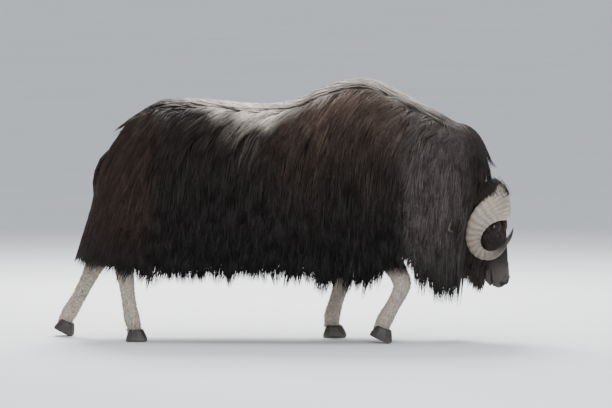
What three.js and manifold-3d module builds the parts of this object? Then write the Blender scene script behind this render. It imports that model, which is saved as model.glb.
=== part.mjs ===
// A muskox bull, life size, walking with its head low. Millimetres, +X towards the nose, +Y to the
// animal's left and +Z up. The origin lies on the floor under the middle of the whole animal.

import * as THREE from "three";
import { ConvexGeometry } from "three/addons/geometries/ConvexGeometry.js";
import { LoftGeometry } from "three/addons/geometries/LoftGeometry.js";
import { mergeVertices } from "three/addons/utils/BufferGeometryUtils.js";
import Module from "manifold-3d";

const wasm = await Module();
wasm.setup();

const { lerp, clamp, degToRad } = THREE.MathUtils;
const point = (x, y, z) => new THREE.Vector3(x, y, z);
const RIGHT = -1;
const LEFT = 1;
const SIDES = { right: RIGHT, left: LEFT };

// Air between two pieces that touch.
const GAP = 0.35;

// Outline of the coat. Each table gives a height or a half width at places along the body.
const RUMP_X = -620;
const BROW_X = 880;
const BACK_LINE = [
  [-620, 1228], [-519, 1237], [-300, 1222], [-104, 1209], [60, 1234], [200, 1298],
  [363, 1342], [470, 1326], [554, 1285], [692, 1214], [830, 1142], [880, 1112],
];
const HALF_WIDTH = [
  [-620, 318], [-300, 358], [0, 370], [300, 368], [500, 338], [700, 282], [880, 212],
];
const WIDEST_LEVEL = [
  [-620, 700], [0, 720], [363, 765], [880, 805],
];
const HEM_LINE = [
  [-620, 292], [-300, 290], [0, 311], [90, 300], [160, 258], [300, 250], [450, 258],
  [530, 335], [590, 385], [650, 360], [700, 250], [760, 192], [830, 173], [880, 182],
];
const BELLY_LINE = [
  [-620, 520], [-300, 470], [0, 450], [300, 470], [500, 505], [700, 480], [880, 560],
];
const REAR_HEM = 388;
const FRONT_HEM = 215;

// How round the cross section is: 1 is an ellipse, less is squarer, more is peaked.
const FLANK_ROUND = 0.86;
const RUMP_ROUND = 1.22;
const BROW_ROUND = 1.05;

// The core is what the locks grow from, and the tips are where they end.
const CORE = { crest: 52, side: 60, rear: 318, front: 128, hangs: false };
const TIPS = { crest: 12, side: 13, rear: 364, front: 170, hangs: true };
const SKIRT_TUCK = 0.08;
const REAR_FLARE = 0.26;
const FRONT_RECESS = 0.95;

// A station is a length walked round the coat, from the tail along one side to the brow.
const REAR_ARC = 560;
const FRONT_ARC = 330;
const RIDGE = BROW_X - RUMP_X;

// Where the trunk is parted into nodes.
const TRUNK_PARTS = {
  rump: [-Infinity, -420],
  barrel: [-420, 80],
  shoulders: [80, 560],
  neck: [560, Infinity],
};

// Rows of locks, from the ridge down. Lift is the depth in the coat at each third of a lock.
const SHINGLE_LIFT = [-0.35, 0.65, 0.92, 1];
const SKIRT_LIFT = [-0.35, 0.85, 1, 1];
const RIDGE_LIFT = [-0.45, 0.3, 0.62, 0.9];
const COAT_ROWS = [
  { from: 0.05, to: 0.42, lift: SHINGLE_LIFT, width: 245, thick: 40, spacing: 222 },
  { from: 0.27, to: 0.68, lift: SHINGLE_LIFT, width: 255, thick: 40, spacing: 222 },
  { from: 0.47, to: 0.9, lift: SKIRT_LIFT, width: 250, thick: 40, spacing: 214 },
  { from: 0.63, to: 1, lift: SKIRT_LIFT, width: 215, thick: 40, spacing: 166 },
];
const LOCK_LEAN = 0.1;
const LOCK_CURL = 26;
const LOCK_THIRDS = [0, 0.34, 0.7, 1];
const LOCK_WIDTHS = [0.7, 1, 0.72, 0];
const COAT_FINENESS = 2;
const RIDGE_LOCK = { length: 320, spacing: 200, width: 210, thick: 46 };

// The head's own frame: along the face, across to the left, and out of the forehead.
const HEAD_PLACE = point(993, 0, 745);
const HEAD_TILT = degToRad(12);
const HEAD_FORM = [
  // down the face, front, back, half width
  [-62, 34, 66, 66], [-34, 64, 94, 96], [0, 80, 110, 112], [60, 90, 122, 121],
  [130, 94, 122, 119], [180, 92, 114, 109], [240, 84, 98, 92], [300, 75, 82, 79],
  [355, 68, 66, 72], [405, 63, 52, 71], [440, 56, 44, 67], [464, 43, 36, 55],
  [479, 22, 20, 33], [484, 6, 6, 12],
];
const JAW_FORM = [
  // down the face, middle, half depth, half width
  [190, -86, 34, 58], [240, -84, 36, 58], [300, -72, 33, 54], [360, -58, 31, 51],
  [410, -47, 30, 50], [440, -40, 27, 46], [458, -36, 19, 35], [466, -34, 6, 12],
];
const HEAD_ROUND = 0.88;
const HEAD_POINTS = 18;
const HEAD_FINENESS = 0.4;

const EYE_RADIUS = 18;
const EYE_PLACE = point(166, 92, 38);
const LID_RADIUS = 24;
const EYE_OPENING = { length: 31, height: 20, tilt: degToRad(-18) };
const NOSTRIL_PLACE = point(455, 33, 28);
const MOUTH = { tip: 500, corner: 378, level: -27, drop: 16, width: 3.5, depth: 9, lip: 17 };

// The horns: middle line, width along the face and thickness, from the parting to the tip.
const HORN_LINE = [
  [58, 4, 100, 192, 70], [60, 50, 100, 186, 72], [66, 96, 82, 166, 72], [80, 134, 44, 138, 68],
  [106, 155, -6, 114, 62], [146, 167, -48, 98, 56], [196, 178, -72, 84, 50],
  [244, 194, -72, 70, 45], [282, 216, -48, 58, 40], [300, 242, -5, 47, 36],
  [290, 268, 42, 36, 30], [262, 288, 80, 24, 22], [232, 299, 102, 12, 12], [214, 303, 110, 3, 3],
];
const HORN_POINTS = 14;

const EAR_ROOT = point(84, 112, -112);
const EAR_AIM = point(0.34, 0.82, -0.46).normalize();
const EAR = { length: 150, halfWidth: 40, wall: 9, cup: 24, sections: 7, points: 6 };

// Legs: middle line and the two half widths, fore-and-aft and across, from the trunk to the hoof.
const LEG_POINTS = 10;
const LEGS = {
  foreleg_right: {
    side: RIGHT, hoof: { x: 486, y: 178, lift: 24 },
    line: [
      [452, 150, 650, 98, 72], [466, 162, 560, 92, 66], [520, 170, 460, 72, 56],
      [580, 175, 360, 55, 49], [602, 176, 305, 53, 49], [590, 177, 255, 46, 44],
      [556, 178, 190, 43, 41], [518, 178, 122, 47, 46], [500, 178, 84, 44, 45], [494, 178, 66, 42, 44],
    ],
  },
  foreleg_left: {
    side: LEFT, hoof: { x: 232, y: 176, lift: 0 },
    line: [
      [425, 150, 650, 98, 72], [408, 162, 560, 92, 66], [350, 170, 450, 72, 56],
      [298, 173, 355, 55, 49], [282, 174, 305, 53, 49], [268, 175, 255, 46, 44],
      [246, 176, 185, 43, 41], [228, 176, 118, 47, 46], [224, 176, 80, 44, 46], [226, 176, 64, 44, 46],
    ],
  },
  hindleg_right: {
    side: RIGHT, hoof: { x: -752, y: 170, lift: 0 },
    line: [
      [-690, 150, 720, 150, 84], [-668, 164, 580, 122, 78], [-735, 168, 480, 84, 60],
      [-800, 168, 410, 62, 48], [-806, 168, 360, 54, 44], [-796, 169, 290, 46, 41],
      [-784, 169, 200, 42, 39], [-770, 170, 122, 46, 44], [-760, 170, 82, 43, 44], [-758, 170, 64, 42, 44],
    ],
  },
  hindleg_left: {
    side: LEFT, hoof: { x: -1160, y: 170, lift: 26 },
    line: [
      [-690, 150, 720, 150, 84], [-705, 164, 585, 122, 78], [-830, 168, 500, 84, 60],
      [-950, 168, 425, 62, 48], [-985, 168, 372, 54, 44], [-1025, 169, 295, 46, 41],
      [-1070, 169, 208, 42, 39], [-1116, 170, 130, 46, 44], [-1138, 170, 90, 43, 44],
      [-1146, 170, 70, 41, 43],
    ],
  },
};
const LEG_ROUND = 0.92;
const DEWCLAW = { back: 40, across: 19, height: 96, length: 34, radius: 10 };

// One claw of a cloven hoof, from the sole to the coronet: height, toe, heel and half width.
const CLAW_FORM = [
  [0, 66, -52, 29], [14, 67, -53, 31], [36, 57, -46, 29], [58, 44, -38, 24], [63, 40, -34, 20],
];
const CLAW_SPREAD = 31;
const CLAW_POINTS = 10;
const CLAW_TURN = degToRad(5);
const HIND_HOOF_SCALE = 0.9;

const TAIL_LINE = [
  // middle line, half width, half thickness
  [-815, 1005, 26, 20], [-872, 985, 34, 25], [-918, 935, 38, 27], [-948, 870, 36, 25],
  [-966, 805, 26, 18], [-974, 755, 8, 6],
];

const COLOURS = {
  coat: [0x241a15, 0.95],
  saddle: [0x8d8172, 0.95],
  face: [0x2b211b, 0.95],
  stocking: [0xb9ada0, 0.95],
  horn: [0xb7a68a, 0.55],
  hoof: [0x25211e, 0.6],
  eye: [0x120b07, 0.1],
};

// One seeded sequence of numbers from 0 to 1, so that every build is the same.
function makeDraws(seed) {
  let state = seed;
  return () => {
    state = (state * 1664525 + 1013904223) % 4294967296;
    return state / 4294967296;
  };
}
const draw = makeDraws(20);
const vary = (size) => (draw() * 2 - 1) * size;

// A smooth curve through the first column and one other column of a table, read at one place.
function read(table, place, column = 1) {
  const last = table.length - 1;
  if (place <= table[0][0]) return table[0][column];
  if (place >= table[last][0]) return table[last][column];
  let i = 0;
  while (place > table[i + 1][0]) i++;
  const slope = (j) => {
    const before = table[Math.max(j - 1, 0)];
    const after = table[Math.min(j + 1, last)];
    return (after[column] - before[column]) / (after[0] - before[0]);
  };
  const width = table[i + 1][0] - table[i][0];
  const u = (place - table[i][0]) / width;
  return (
    (2 * u ** 3 - 3 * u ** 2 + 1) * table[i][column] +
    (u ** 3 - 2 * u ** 2 + u) * width * slope(i) +
    (3 * u ** 2 - 2 * u ** 3) * table[i + 1][column] +
    (u ** 3 - u ** 2) * width * slope(i + 1)
  );
}

// A three.js geometry as a solid: shared corners merged, collapsed faces dropped, facing outwards.
function solid(geometry) {
  const bare = new THREE.BufferGeometry();
  bare.setAttribute("position", geometry.getAttribute("position"));
  bare.setIndex(geometry.index);
  const merged = mergeVertices(bare, 1e-3);
  const corners = merged.attributes.position;
  const faces = [];
  const [a, b, c] = [point(), point(), point()];
  let volume = 0;
  for (let i = 0; i < merged.index.count; i += 3) {
    const face = [0, 1, 2].map((k) => merged.index.getX(i + k));
    if (new Set(face).size < 3) continue;
    a.fromBufferAttribute(corners, face[0]);
    b.fromBufferAttribute(corners, face[1]);
    c.fromBufferAttribute(corners, face[2]);
    volume += a.dot(b.cross(c));
    faces.push(face);
  }
  if (volume < 0) faces.forEach((face) => face.reverse());
  return new wasm.Manifold(
    new wasm.Mesh({
      numProp: 3,
      vertProperties: new Float32Array(corners.array),
      triVerts: new Uint32Array(faces.flat()),
    }),
  );
}

// A solid lofted through closed rings of points, wound to face outwards. An end without a cap must
// close on itself, at a point or along a line.
function loft(rings, capStart = true, capEnd = true) {
  const halfway = Math.floor(rings.length / 2);
  const section = rings[halfway];
  const run = point().subVectors(rings[halfway][0], rings[halfway - 1][0]);
  const normal = point();
  section.forEach((corner, i) => {
    const next = section[(i + 1) % section.length];
    normal.add(point().crossVectors(point().subVectors(corner, section[0]), point().subVectors(next, section[0])));
  });
  const wound = normal.dot(run) < 0 ? rings.map((one) => [...one].reverse()) : rings;
  return solid(new LoftGeometry(wound, { capStart, capEnd }));
}

// Rings with the two end ones moved apart, so that a socket also clears the ends of what it holds.
function stretched(rings, grow) {
  const shift = (end, next) => {
    const way = point().subVectors(end[0], next[0]).setLength(grow);
    return end.map((corner) => corner.clone().add(way));
  };
  return [shift(rings[0], rings[1]), ...rings.slice(1, -1), shift(rings.at(-1), rings.at(-2))];
}

const join = (solids) => wasm.Manifold.union(solids);

// The largest closed surface of a solid, which leaves out sealed hollows and loose scraps.
function largest(body) {
  return body.decompose().reduce((best, next) => (next.volume() > best.volume() ? next : best));
}

// A solid as a three.js mesh with its node's name and colour.
function meshOf(name, body, colour) {
  const data = body.getMesh();
  const places = new Float32Array(data.numVert * 3);
  for (let i = 0; i < data.numVert; i++) {
    places.set(data.vertProperties.subarray(i * data.numProp, i * data.numProp + 3), i * 3);
  }
  const geometry = new THREE.BufferGeometry();
  geometry.setAttribute("position", new THREE.BufferAttribute(places, 3));
  geometry.setIndex(new THREE.BufferAttribute(data.triVerts, 1));
  geometry.computeVertexNormals();
  const [color, roughness] = COLOURS[colour];
  const mesh = new THREE.Mesh(geometry, new THREE.MeshStandardMaterial({ color, roughness, metalness: 0 }));
  mesh.name = name;
  return mesh;
}

// A ring of points round a middle: a rounded box whose exponent says how square it is.
function ring(middle, u, halfU, v, halfV, count, exponent) {
  const power = (value) => Math.sign(value) * Math.abs(value) ** exponent;
  return Array.from({ length: count }, (_, i) => {
    const angle = (2 * Math.PI * i) / count;
    return middle
      .clone()
      .addScaledVector(u, power(Math.cos(angle)) * halfU)
      .addScaledVector(v, power(Math.sin(angle)) * halfV);
  });
}

// Where a station stands: its place on the ridge, and its turn round the rump or the brow.
function footing(station) {
  const past = station - REAR_ARC;
  if (past < 0) return { x: RUMP_X, turn: (past / REAR_ARC) * (Math.PI / 2) };
  if (past > RIDGE) return { x: BROW_X, turn: ((past - RIDGE) / FRONT_ARC) * (Math.PI / 2) };
  return { x: RUMP_X + past, turn: 0 };
}

// A point of the core or of the tips. Down runs from the ridge at 0 to the widest level at 0.5,
// and on to the hem, or under the belly, at 1.
function layerPoint(layer, side, station, down) {
  const { x, turn } = footing(station);
  const end = Math.abs(Math.sin(turn));
  const behind = turn < 0;
  const exponent = lerp(FLANK_ROUND, behind ? RUMP_ROUND : BROW_ROUND, end);
  const widest = read(WIDEST_LEVEL, x);
  let outSide = 1;
  let outEnd = 1;
  let height = widest;
  if (down <= 0.5) {
    const angle = Math.PI * down;
    outSide = Math.sin(angle) ** exponent;
    outEnd = outSide;
    height += (read(BACK_LINE, x) - layer.crest - widest) * Math.abs(Math.cos(angle)) ** exponent;
  } else if (layer.hangs) {
    const fall = 2 * down - 1;
    const hem = lerp(read(HEM_LINE, x), behind ? REAR_HEM : FRONT_HEM, end ** 2);
    outSide = 1 - SKIRT_TUCK * fall ** 2;
    outEnd = behind ? 1 + REAR_FLARE * fall : 1 - FRONT_RECESS * fall;
    height += (hem - widest) * fall;
  } else {
    const angle = (2 * down - 1) * (Math.PI / 2);
    outSide = Math.abs(Math.cos(angle)) ** exponent;
    outEnd = outSide;
    height += (read(BELLY_LINE, x) - widest) * Math.sin(angle) ** exponent;
  }
  const reach = behind ? layer.rear : layer.front;
  const half = read(HALF_WIDTH, x) - layer.side;
  return point(x + Math.sin(turn) * reach * outEnd, side * Math.cos(turn) * half * outSide, height);
}

// A point in the coat. Depth is 0 on the core and 1 at the tips, and less than 0 is inside.
function coatPoint(side, station, down, depth) {
  const facing = station < 0 ? -side : side;
  const core = layerPoint(CORE, facing, Math.abs(station), down);
  return core.lerp(layerPoint(TIPS, facing, Math.abs(station), down), depth);
}

// The closed core: rings from the tail to the brow, each from ridge to belly and up the other side.
function trunkCore() {
  const steps = 8;
  const stations = [];
  for (let i = 0; i <= 4; i++) stations.push((REAR_ARC * i) / 4);
  for (let i = 1; i <= 10; i++) stations.push(REAR_ARC + (RIDGE * i) / 10);
  for (let i = 1; i <= 3; i++) stations.push(REAR_ARC + RIDGE + (FRONT_ARC * i) / 3);
  const rings = stations.map((station) => {
    const rightArc = Array.from({ length: steps + 1 }, (_, i) => layerPoint(CORE, RIGHT, station, i / steps));
    const leftArc = Array.from({ length: steps - 1 }, (_, i) =>
      layerPoint(CORE, LEFT, station, (steps - 1 - i) / steps),
    );
    return [...rightArc, ...leftArc];
  });
  return loft(rings, false, false);
}

// One flat lock along a path: a thin diamond section that tapers to a point.
function lock({ path, outwards, width, thick }, grow = 0) {
  const rings = path.map((place, i) => {
    const before = path[Math.max(i - 1, 0)];
    const after = path[Math.min(i + 1, path.length - 1)];
    const run = point().subVectors(after, before).normalize();
    const across = point().crossVectors(run, outwards[i]).normalize();
    const out = point().crossVectors(across, run).normalize();
    const share = LOCK_WIDTHS[i];
    const halfWidth = (width * share) / 2 + 2 * grow * Math.sign(share);
    const halfThick = (thick * Math.sqrt(share)) / 2 + 2 * grow * Math.sign(share);
    return ring(place, across, halfWidth, out, halfThick, 4, 1);
  });
  return loft(rings, true, false);
}

// A lock of the coat that hangs from its root to its tip, leaning back and bending a little.
function coatLock(side, station, row) {
  const reach = 1 + vary(0.12);
  const curl = vary(LOCK_CURL);
  const span = (row.to - row.from) * (row.to === 1 ? 1 : reach);
  const rise = vary(0.06);
  const length = coatPoint(side, station, row.from, 1).distanceTo(coatPoint(side, station, row.to, 1));
  const path = [];
  const outwards = [];
  LOCK_THIRDS.forEach((part, i) => {
    const down = row.from + span * part;
    const along = station - length * LOCK_LEAN * part + curl * Math.sin(Math.PI * part);
    const depth = row.lift[i] + (i > 0 ? rise : 0);
    path.push(coatPoint(side, along, down, depth));
    outwards.push(coatPoint(side, along, down, 1).sub(coatPoint(side, along, down, 0)).normalize());
  });
  return lock({ path, outwards, width: row.width * (1 + vary(0.12)), thick: row.thick });
}

// Stations evenly spaced over the surface at a row's middle, from the tail to the brow.
function rowStations(row, offset) {
  const middle = (row.from + row.to) / 2;
  const stations = [];
  const step = 10;
  let walked = row.spacing * offset;
  for (let station = 0; station < REAR_ARC + RIDGE + FRONT_ARC; station += step) {
    const here = coatPoint(RIGHT, station, middle, 1);
    walked += here.distanceTo(coatPoint(RIGHT, station + step, middle, 1));
    if (walked < row.spacing) continue;
    walked -= row.spacing;
    stations.push(station);
  }
  return stations;
}

// True where the head and the horns take the place of the coat.
function behindFace(station, down) {
  const past = station - REAR_ARC - RIDGE;
  return past > FRONT_ARC * 0.3 && down > 0.3;
}

// Every lock of the trunk with the place of its root.
function trunkLocks() {
  const locks = [];
  COAT_ROWS.forEach((row, number) => {
    for (const side of [RIGHT, LEFT]) {
      for (const station of rowStations(row, number % 2 ? 0.5 : 0)) {
        if (behindFace(station, row.from)) continue;
        const root = coatPoint(side, station, row.from, 0);
        locks.push({ x: root.x, body: coatLock(side, station, row) });
      }
    }
  });
  return locks;
}

// Locks along the ridge of the back, lying towards the tail.
function ridgeLocks() {
  const locks = [];
  for (let x = BROW_X + 40; x > RUMP_X + 20; x -= RIDGE_LOCK.spacing) {
    const sway = vary(22);
    const path = [];
    const outwards = [];
    LOCK_THIRDS.forEach((part, i) => {
      const place = x - RIDGE_LOCK.length * part;
      const depth = RIDGE_LIFT[i];
      const height = read(BACK_LINE, place) - lerp(CORE.crest, TIPS.crest, depth);
      const past = Math.max(0, RUMP_X - place);
      path.push(point(place, sway * part, height - past * 0.45));
      outwards.push(point(0, 0, 1));
    });
    locks.push({ x, body: lock({ path, outwards, width: RIDGE_LOCK.width, thick: RIDGE_LOCK.thick }) });
  }
  return locks;
}

// One node of the trunk: its share of the core and the locks that grow from it, cut to length.
function trunkPart([from, to], core, locks, cutters) {
  const own = locks.filter((one) => one.x >= from && one.x < to).map((one) => one.body);
  let body = join([core, ...own]).simplify(COAT_FINENESS);
  if (from > -Infinity) body = body.trimByPlane([1, 0, 0], from + GAP / 2);
  if (to < Infinity) body = body.trimByPlane([-1, 0, 0], -(to - GAP / 2));
  return largest(cutters.reduce((left, cutter) => left.subtract(cutter), body));
}

// A leg as a loft along its middle line. Grow makes the socket that it sits in.
function legSolid({ side, line }, grow) {
  const places = line.map(([x, y, z]) => point(x, side * y, z));
  const top = places[0];
  if (grow) top.z += grow;
  const rings = line.map(([, , , foreAft, across], i) => {
    const run = point().subVectors(places[Math.min(i + 1, line.length - 1)], places[Math.max(i - 1, 0)]);
    if (i === 0 || i === line.length - 1) run.set(0, 0, -1);
    run.normalize();
    const fore = point().crossVectors(point(0, 1, 0), run).normalize();
    return ring(places[i], fore, foreAft + grow, point(0, 1, 0), across + grow, LEG_POINTS, LEG_ROUND);
  });
  return loft(rings);
}

// The two small claws behind the pastern.
function dewclaws({ side, line }) {
  const [x, y] = line[line.length - 2];
  return [-1, 1].map((way) => {
    const rings = [0, 0.6, 1].map((part) => {
      const middle = point(
        x - DEWCLAW.back * (0.6 + 0.5 * part),
        side * y + way * DEWCLAW.across,
        DEWCLAW.height - DEWCLAW.length * part,
      );
      const radius = DEWCLAW.radius * (1.1 - 0.75 * part);
      return ring(middle, point(1, 0, 0), radius, point(0, 1, 0), radius * 1.2, 6, 1);
    });
    return loft(rings);
  });
}

// A cloven hoof: two claws spread at the toe and joined at the heel.
function hoofSolid(scale) {
  const claws = [-1, 1].map((way) => {
    const rings = CLAW_FORM.map(([height, toe, heel, half]) => {
      const points = ring(
        point((toe + heel) / 2, 0, height), point(1, 0, 0), (toe - heel) / 2,
        point(0, 1, 0), half, CLAW_POINTS, 0.85,
      );
      return points.map((p) => {
        const narrow = 1 - 0.35 * clamp((p.x - 10) / 60, 0, 1);
        return point(p.x, p.y * narrow, p.z)
          .applyAxisAngle(point(0, 0, 1), way * CLAW_TURN)
          .add(point(0, way * CLAW_SPREAD, 0));
      });
    });
    return loft(rings);
  });
  const heel = loft(
    [[6, 22], [34, 24], [62, 20]].map(([height, half]) =>
      ring(point(-16, 0, height), point(1, 0, 0), half, point(0, 1, 0), 26, 8, 0.8),
    ),
  );
  return join([...claws, heel]).scale([scale, scale, 1]);
}

// A hoof set under its leg: tipped on its toe where the heel is off the ground, with a flat
// worn on the floor.
function placedHoof(name, { side, hoof }) {
  const scale = name.startsWith("hind") ? HIND_HOOF_SCALE : 1;
  const tipped = hoofSolid(scale).rotate([0, hoof.lift, 0]);
  const lowest = tipped.boundingBox().min[2];
  const sink = hoof.lift ? 5 : 0;
  return tipped.translate([hoof.x, side * hoof.y, -lowest - sink]).trimByPlane([0, 0, 1], 0);
}

const headFrame = new THREE.Matrix4()
  .makeBasis(
    point(Math.sin(HEAD_TILT), 0, -Math.cos(HEAD_TILT)),
    point(0, 1, 0),
    point(Math.cos(HEAD_TILT), 0, Math.sin(HEAD_TILT)),
  )
  .setPosition(HEAD_PLACE);
const inBodyFrame = (body) => body.transform(headFrame.elements);

// The head and face without its openings, grown or shrunk all round.
function headForm(grow) {
  const section = (along, level, half, depth, count) => {
    const [halfAcross, halfOut] = [half, depth].map((size) => Math.max(size + grow, 2));
    return ring(point(along, 0, level), point(0, 1, 0), halfAcross, point(0, 0, 1), halfOut, count, HEAD_ROUND);
  };
  const skull = HEAD_FORM.map(([along, front, back, half], i) =>
    section(i === 0 ? along - grow : along, (front - back) / 2, half, (front + back) / 2, HEAD_POINTS),
  );
  const jaw = JAW_FORM.map(([along, level, depth, half]) => section(along, level, half, depth, HEAD_POINTS - 6));
  return join([loft(skull), loft(jaw)]);
}

// A ball stretched to three half sizes about a place in the head's frame.
function ball(place, [a, y, n], columns = 10, rows = 7) {
  return solid(new THREE.SphereGeometry(1, columns, rows)).scale([a, y, n]).translate(place.toArray());
}

const mirrored = (place, side) => point(place.x, place.y * side, place.z);

// The gap between the eyelids: a pointed oval that runs out sideways from the eye.
function eyeOpening(side) {
  const { length, height, tilt } = EYE_OPENING;
  const oval = new THREE.Shape();
  oval.moveTo(-length / 2, 0);
  oval.quadraticCurveTo(0, height, length / 2, 0);
  oval.quadraticCurveTo(0, -height, -length / 2, 0);
  const prism = new THREE.ExtrudeGeometry(oval, { depth: 60, bevelEnabled: false, curveSegments: 6 });
  prism.rotateZ(tilt);
  prism.rotateX(-side * Math.PI / 2);
  return solid(prism).translate(mirrored(EYE_PLACE, side).toArray());
}

// A band round the muzzle at the mouth, between two levels of the form.
function mouthBand(width, outer, inner) {
  const length = MOUTH.tip - MOUTH.corner;
  const slab = new THREE.BoxGeometry(length, 260, width);
  slab.rotateY(Math.atan2(-MOUTH.drop, length));
  slab.translate(MOUTH.corner + length / 2, 0, MOUTH.level);
  return solid(slab).intersect(headForm(outer)).subtract(headForm(inner));
}

// The locks of the head: a forelock between the horns, the cheeks and the beard under the jaw.
function headTufts() {
  const tufts = [];
  const hanging = (root, aim, length, width, thick, bend) => {
    const path = LOCK_THIRDS.map((part) => {
      const fall = point(aim.x, aim.y, aim.z).multiplyScalar(length * part);
      return root.clone().add(fall).addScaledVector(bend, Math.sin(Math.PI * part));
    });
    const outwards = path.map(() => bend.clone().normalize());
    tufts.push({ path, outwards, width, thick });
  };
  for (const side of [RIGHT, LEFT]) {
    for (let i = 0; i < 4; i++) {
      const part = i / 3;
      const root = point(lerp(180, 365, part), side * lerp(62, 32, part), lerp(-84, -50, part));
      const aim = point(0.86, side * 0.1, -0.5 + vary(0.08)).normalize();
      hanging(root, aim, lerp(205, 120, part) * (1 + vary(0.1)), 84, 26, point(0, side * 10, -6));
    }
    for (let i = 0; i < 2; i++) {
      const root = point(lerp(130, 225, i), side * lerp(94, 72, i), lerp(-66, -48, i));
      const aim = point(0.9, side * 0.16, -0.42).normalize();
      hanging(root, aim, 150 * (1 + vary(0.1)), 86, 26, point(0, side * 14, 0));
    }
  }
  for (let i = 0; i < 3; i++) {
    const root = point(132, (i - 1) * 26, 74);
    hanging(root, point(0.96, (i - 1) * 0.12, 0.2).normalize(), 84, 40, 18, point(0, 0, 9));
  }
  return tufts;
}

// The finished head: brows and lids raised, then eyes, nostrils and mouth cut in.
function headSolid(tufts, cutters) {
  let body = join([headForm(0), mouthBand(MOUTH.lip, 4, -12), ...tufts.map((tuft) => lock(tuft))]);
  for (const side of [RIGHT, LEFT]) {
    const eye = mirrored(EYE_PLACE, side);
    const brow = ball(mirrored(point(158, 76, 42), side), [46, 33, 36]);
    const lids = ball(eye, [LID_RADIUS, LID_RADIUS, LID_RADIUS], 14, 9);
    const wing = ball(mirrored(point(444, 40, 30), side), [30, 26, 27]);
    body = join([body, brow, lids, wing]);
  }
  for (const side of [RIGHT, LEFT]) {
    const eye = mirrored(EYE_PLACE, side);
    const socket = EYE_RADIUS + GAP;
    const nostril = ball(point(0, 0, 0), [19, 9, 10])
      .rotate([side * 28, 0, side * 34])
      .translate(mirrored(NOSTRIL_PLACE, side).add(point(10, side * 12, 8)).toArray());
    body = body.subtract(eyeOpening(side)).subtract(ball(eye, [socket, socket, socket], 14, 10));
    body = body.subtract(nostril);
  }
  body = body.subtract(mouthBand(MOUTH.width, 8, -MOUTH.depth)).simplify(HEAD_FINENESS);
  return largest(cutters.reduce((left, cutter) => left.subtract(cutter), body));
}

// A horn, lofted along its line. Its wide side lies along the face and then turns to the front.
function hornSolid(side, grow) {
  const places = HORN_LINE.map(([a, y, n]) => point(a, side * y, n));
  const rings = HORN_LINE.map(([, , , wide, thick], i) => {
    const run = point().subVectors(places[Math.min(i + 1, places.length - 1)], places[Math.max(i - 1, 0)]);
    if (i === 0) run.set(0, side, 0);
    run.normalize();
    const outward = point(0, places[i].y, places[i].z + 20).normalize();
    if (i === 0) outward.set(0, 0, 1);
    const broad = point().crossVectors(run, outward).normalize();
    const through = point().crossVectors(broad, run).normalize();
    return ring(places[i], broad, wide / 2 + grow, through, thick / 2 + grow, HORN_POINTS, 0.9);
  });
  return loft(stretched(rings, grow));
}

// The rings of an ear: a leaf with a deep cup that opens forwards and outwards.
function earRings(side, grow) {
  const aim = mirrored(EAR_AIM, side);
  const opening = point(0.1, side * 0.35, 0.93).normalize();
  const across = point().crossVectors(aim, opening).normalize();
  const out = point().crossVectors(across, aim).normalize();
  return Array.from({ length: EAR.sections + 1 }, (_, i) => {
    const part = i / EAR.sections;
    const spread = EAR.halfWidth * Math.sin(Math.PI * (0.16 + 0.82 * part)) ** 0.75 + grow;
    const wall = EAR.wall * (1 - 0.55 * part);
    const cup = EAR.cup * Math.sin(Math.PI * clamp(part * 0.95 + 0.02, 0, 1)) ** 0.8;
    const middle = mirrored(EAR_ROOT, side).addScaledVector(aim, EAR.length * part);
    const back = [];
    const front = [];
    for (let j = 0; j < EAR.points; j++) {
      const swing = lerp(-1, 1, j / (EAR.points - 1));
      const half = (wall / 2) * (1 - 0.85 * swing ** 4) + grow;
      const sink = -cup * (1 - swing ** 2);
      const place = (lift) => middle.clone().addScaledVector(across, spread * swing).addScaledVector(out, lift);
      back.push(place(sink - half));
      front.unshift(place(sink + half));
    }
    return [...back, ...front];
  });
}

// Room for an ear and its cup in the hair round it.
function earRoom(side) {
  return solid(new ConvexGeometry(stretched(earRings(side, 2 * GAP), 2 * GAP).flat()));
}

// The short tail, which lies down against the rump.
function tailSolid(grow) {
  const places = TAIL_LINE.map(([x, z]) => point(x, 0, z));
  const rings = TAIL_LINE.map(([, , half, thick], i) => {
    const run = point().subVectors(places[Math.min(i + 1, places.length - 1)], places[Math.max(i - 1, 0)]);
    run.normalize();
    const out = point().crossVectors(run, point(0, 1, 0)).normalize();
    return ring(places[i], point(0, 1, 0), half + grow, out, thick + grow, 10, 1);
  });
  return loft(stretched(rings, grow));
}

// The whole animal, in nested groups for the trunk, the head and the legs.
const muskox = new THREE.Group();
const trunk = new THREE.Group();
const head = new THREE.Group();
const legs = new THREE.Group();
head.applyMatrix4(headFrame);
muskox.add(trunk, head, legs);

const headCutters = [];
for (const side of [RIGHT, LEFT]) headCutters.push(hornSolid(side, GAP), earRoom(side));
const legCutters = Object.values(LEGS).map((leg) => legSolid(leg, GAP));
const tufts = headTufts();
const faceCutters = [headForm(GAP), ...tufts.map((tuft) => lock(tuft, GAP)), ...headCutters].map(inBodyFrame);
const core = trunkCore();
const locks = [...trunkLocks(), ...ridgeLocks()];
const cuttersOf = {
  rump: [...legCutters.slice(2), tailSolid(GAP)],
  barrel: [],
  shoulders: legCutters.slice(0, 2),
  neck: [...faceCutters, ...legCutters.slice(0, 2)],
};

for (const [name, span] of Object.entries(TRUNK_PARTS)) {
  const body = trunkPart(span, core, locks, cuttersOf[name]);
  trunk.add(meshOf(name, body, name === "barrel" ? "saddle" : "coat"));
}
trunk.add(meshOf("tail", tailSolid(0), "coat"));

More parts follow.
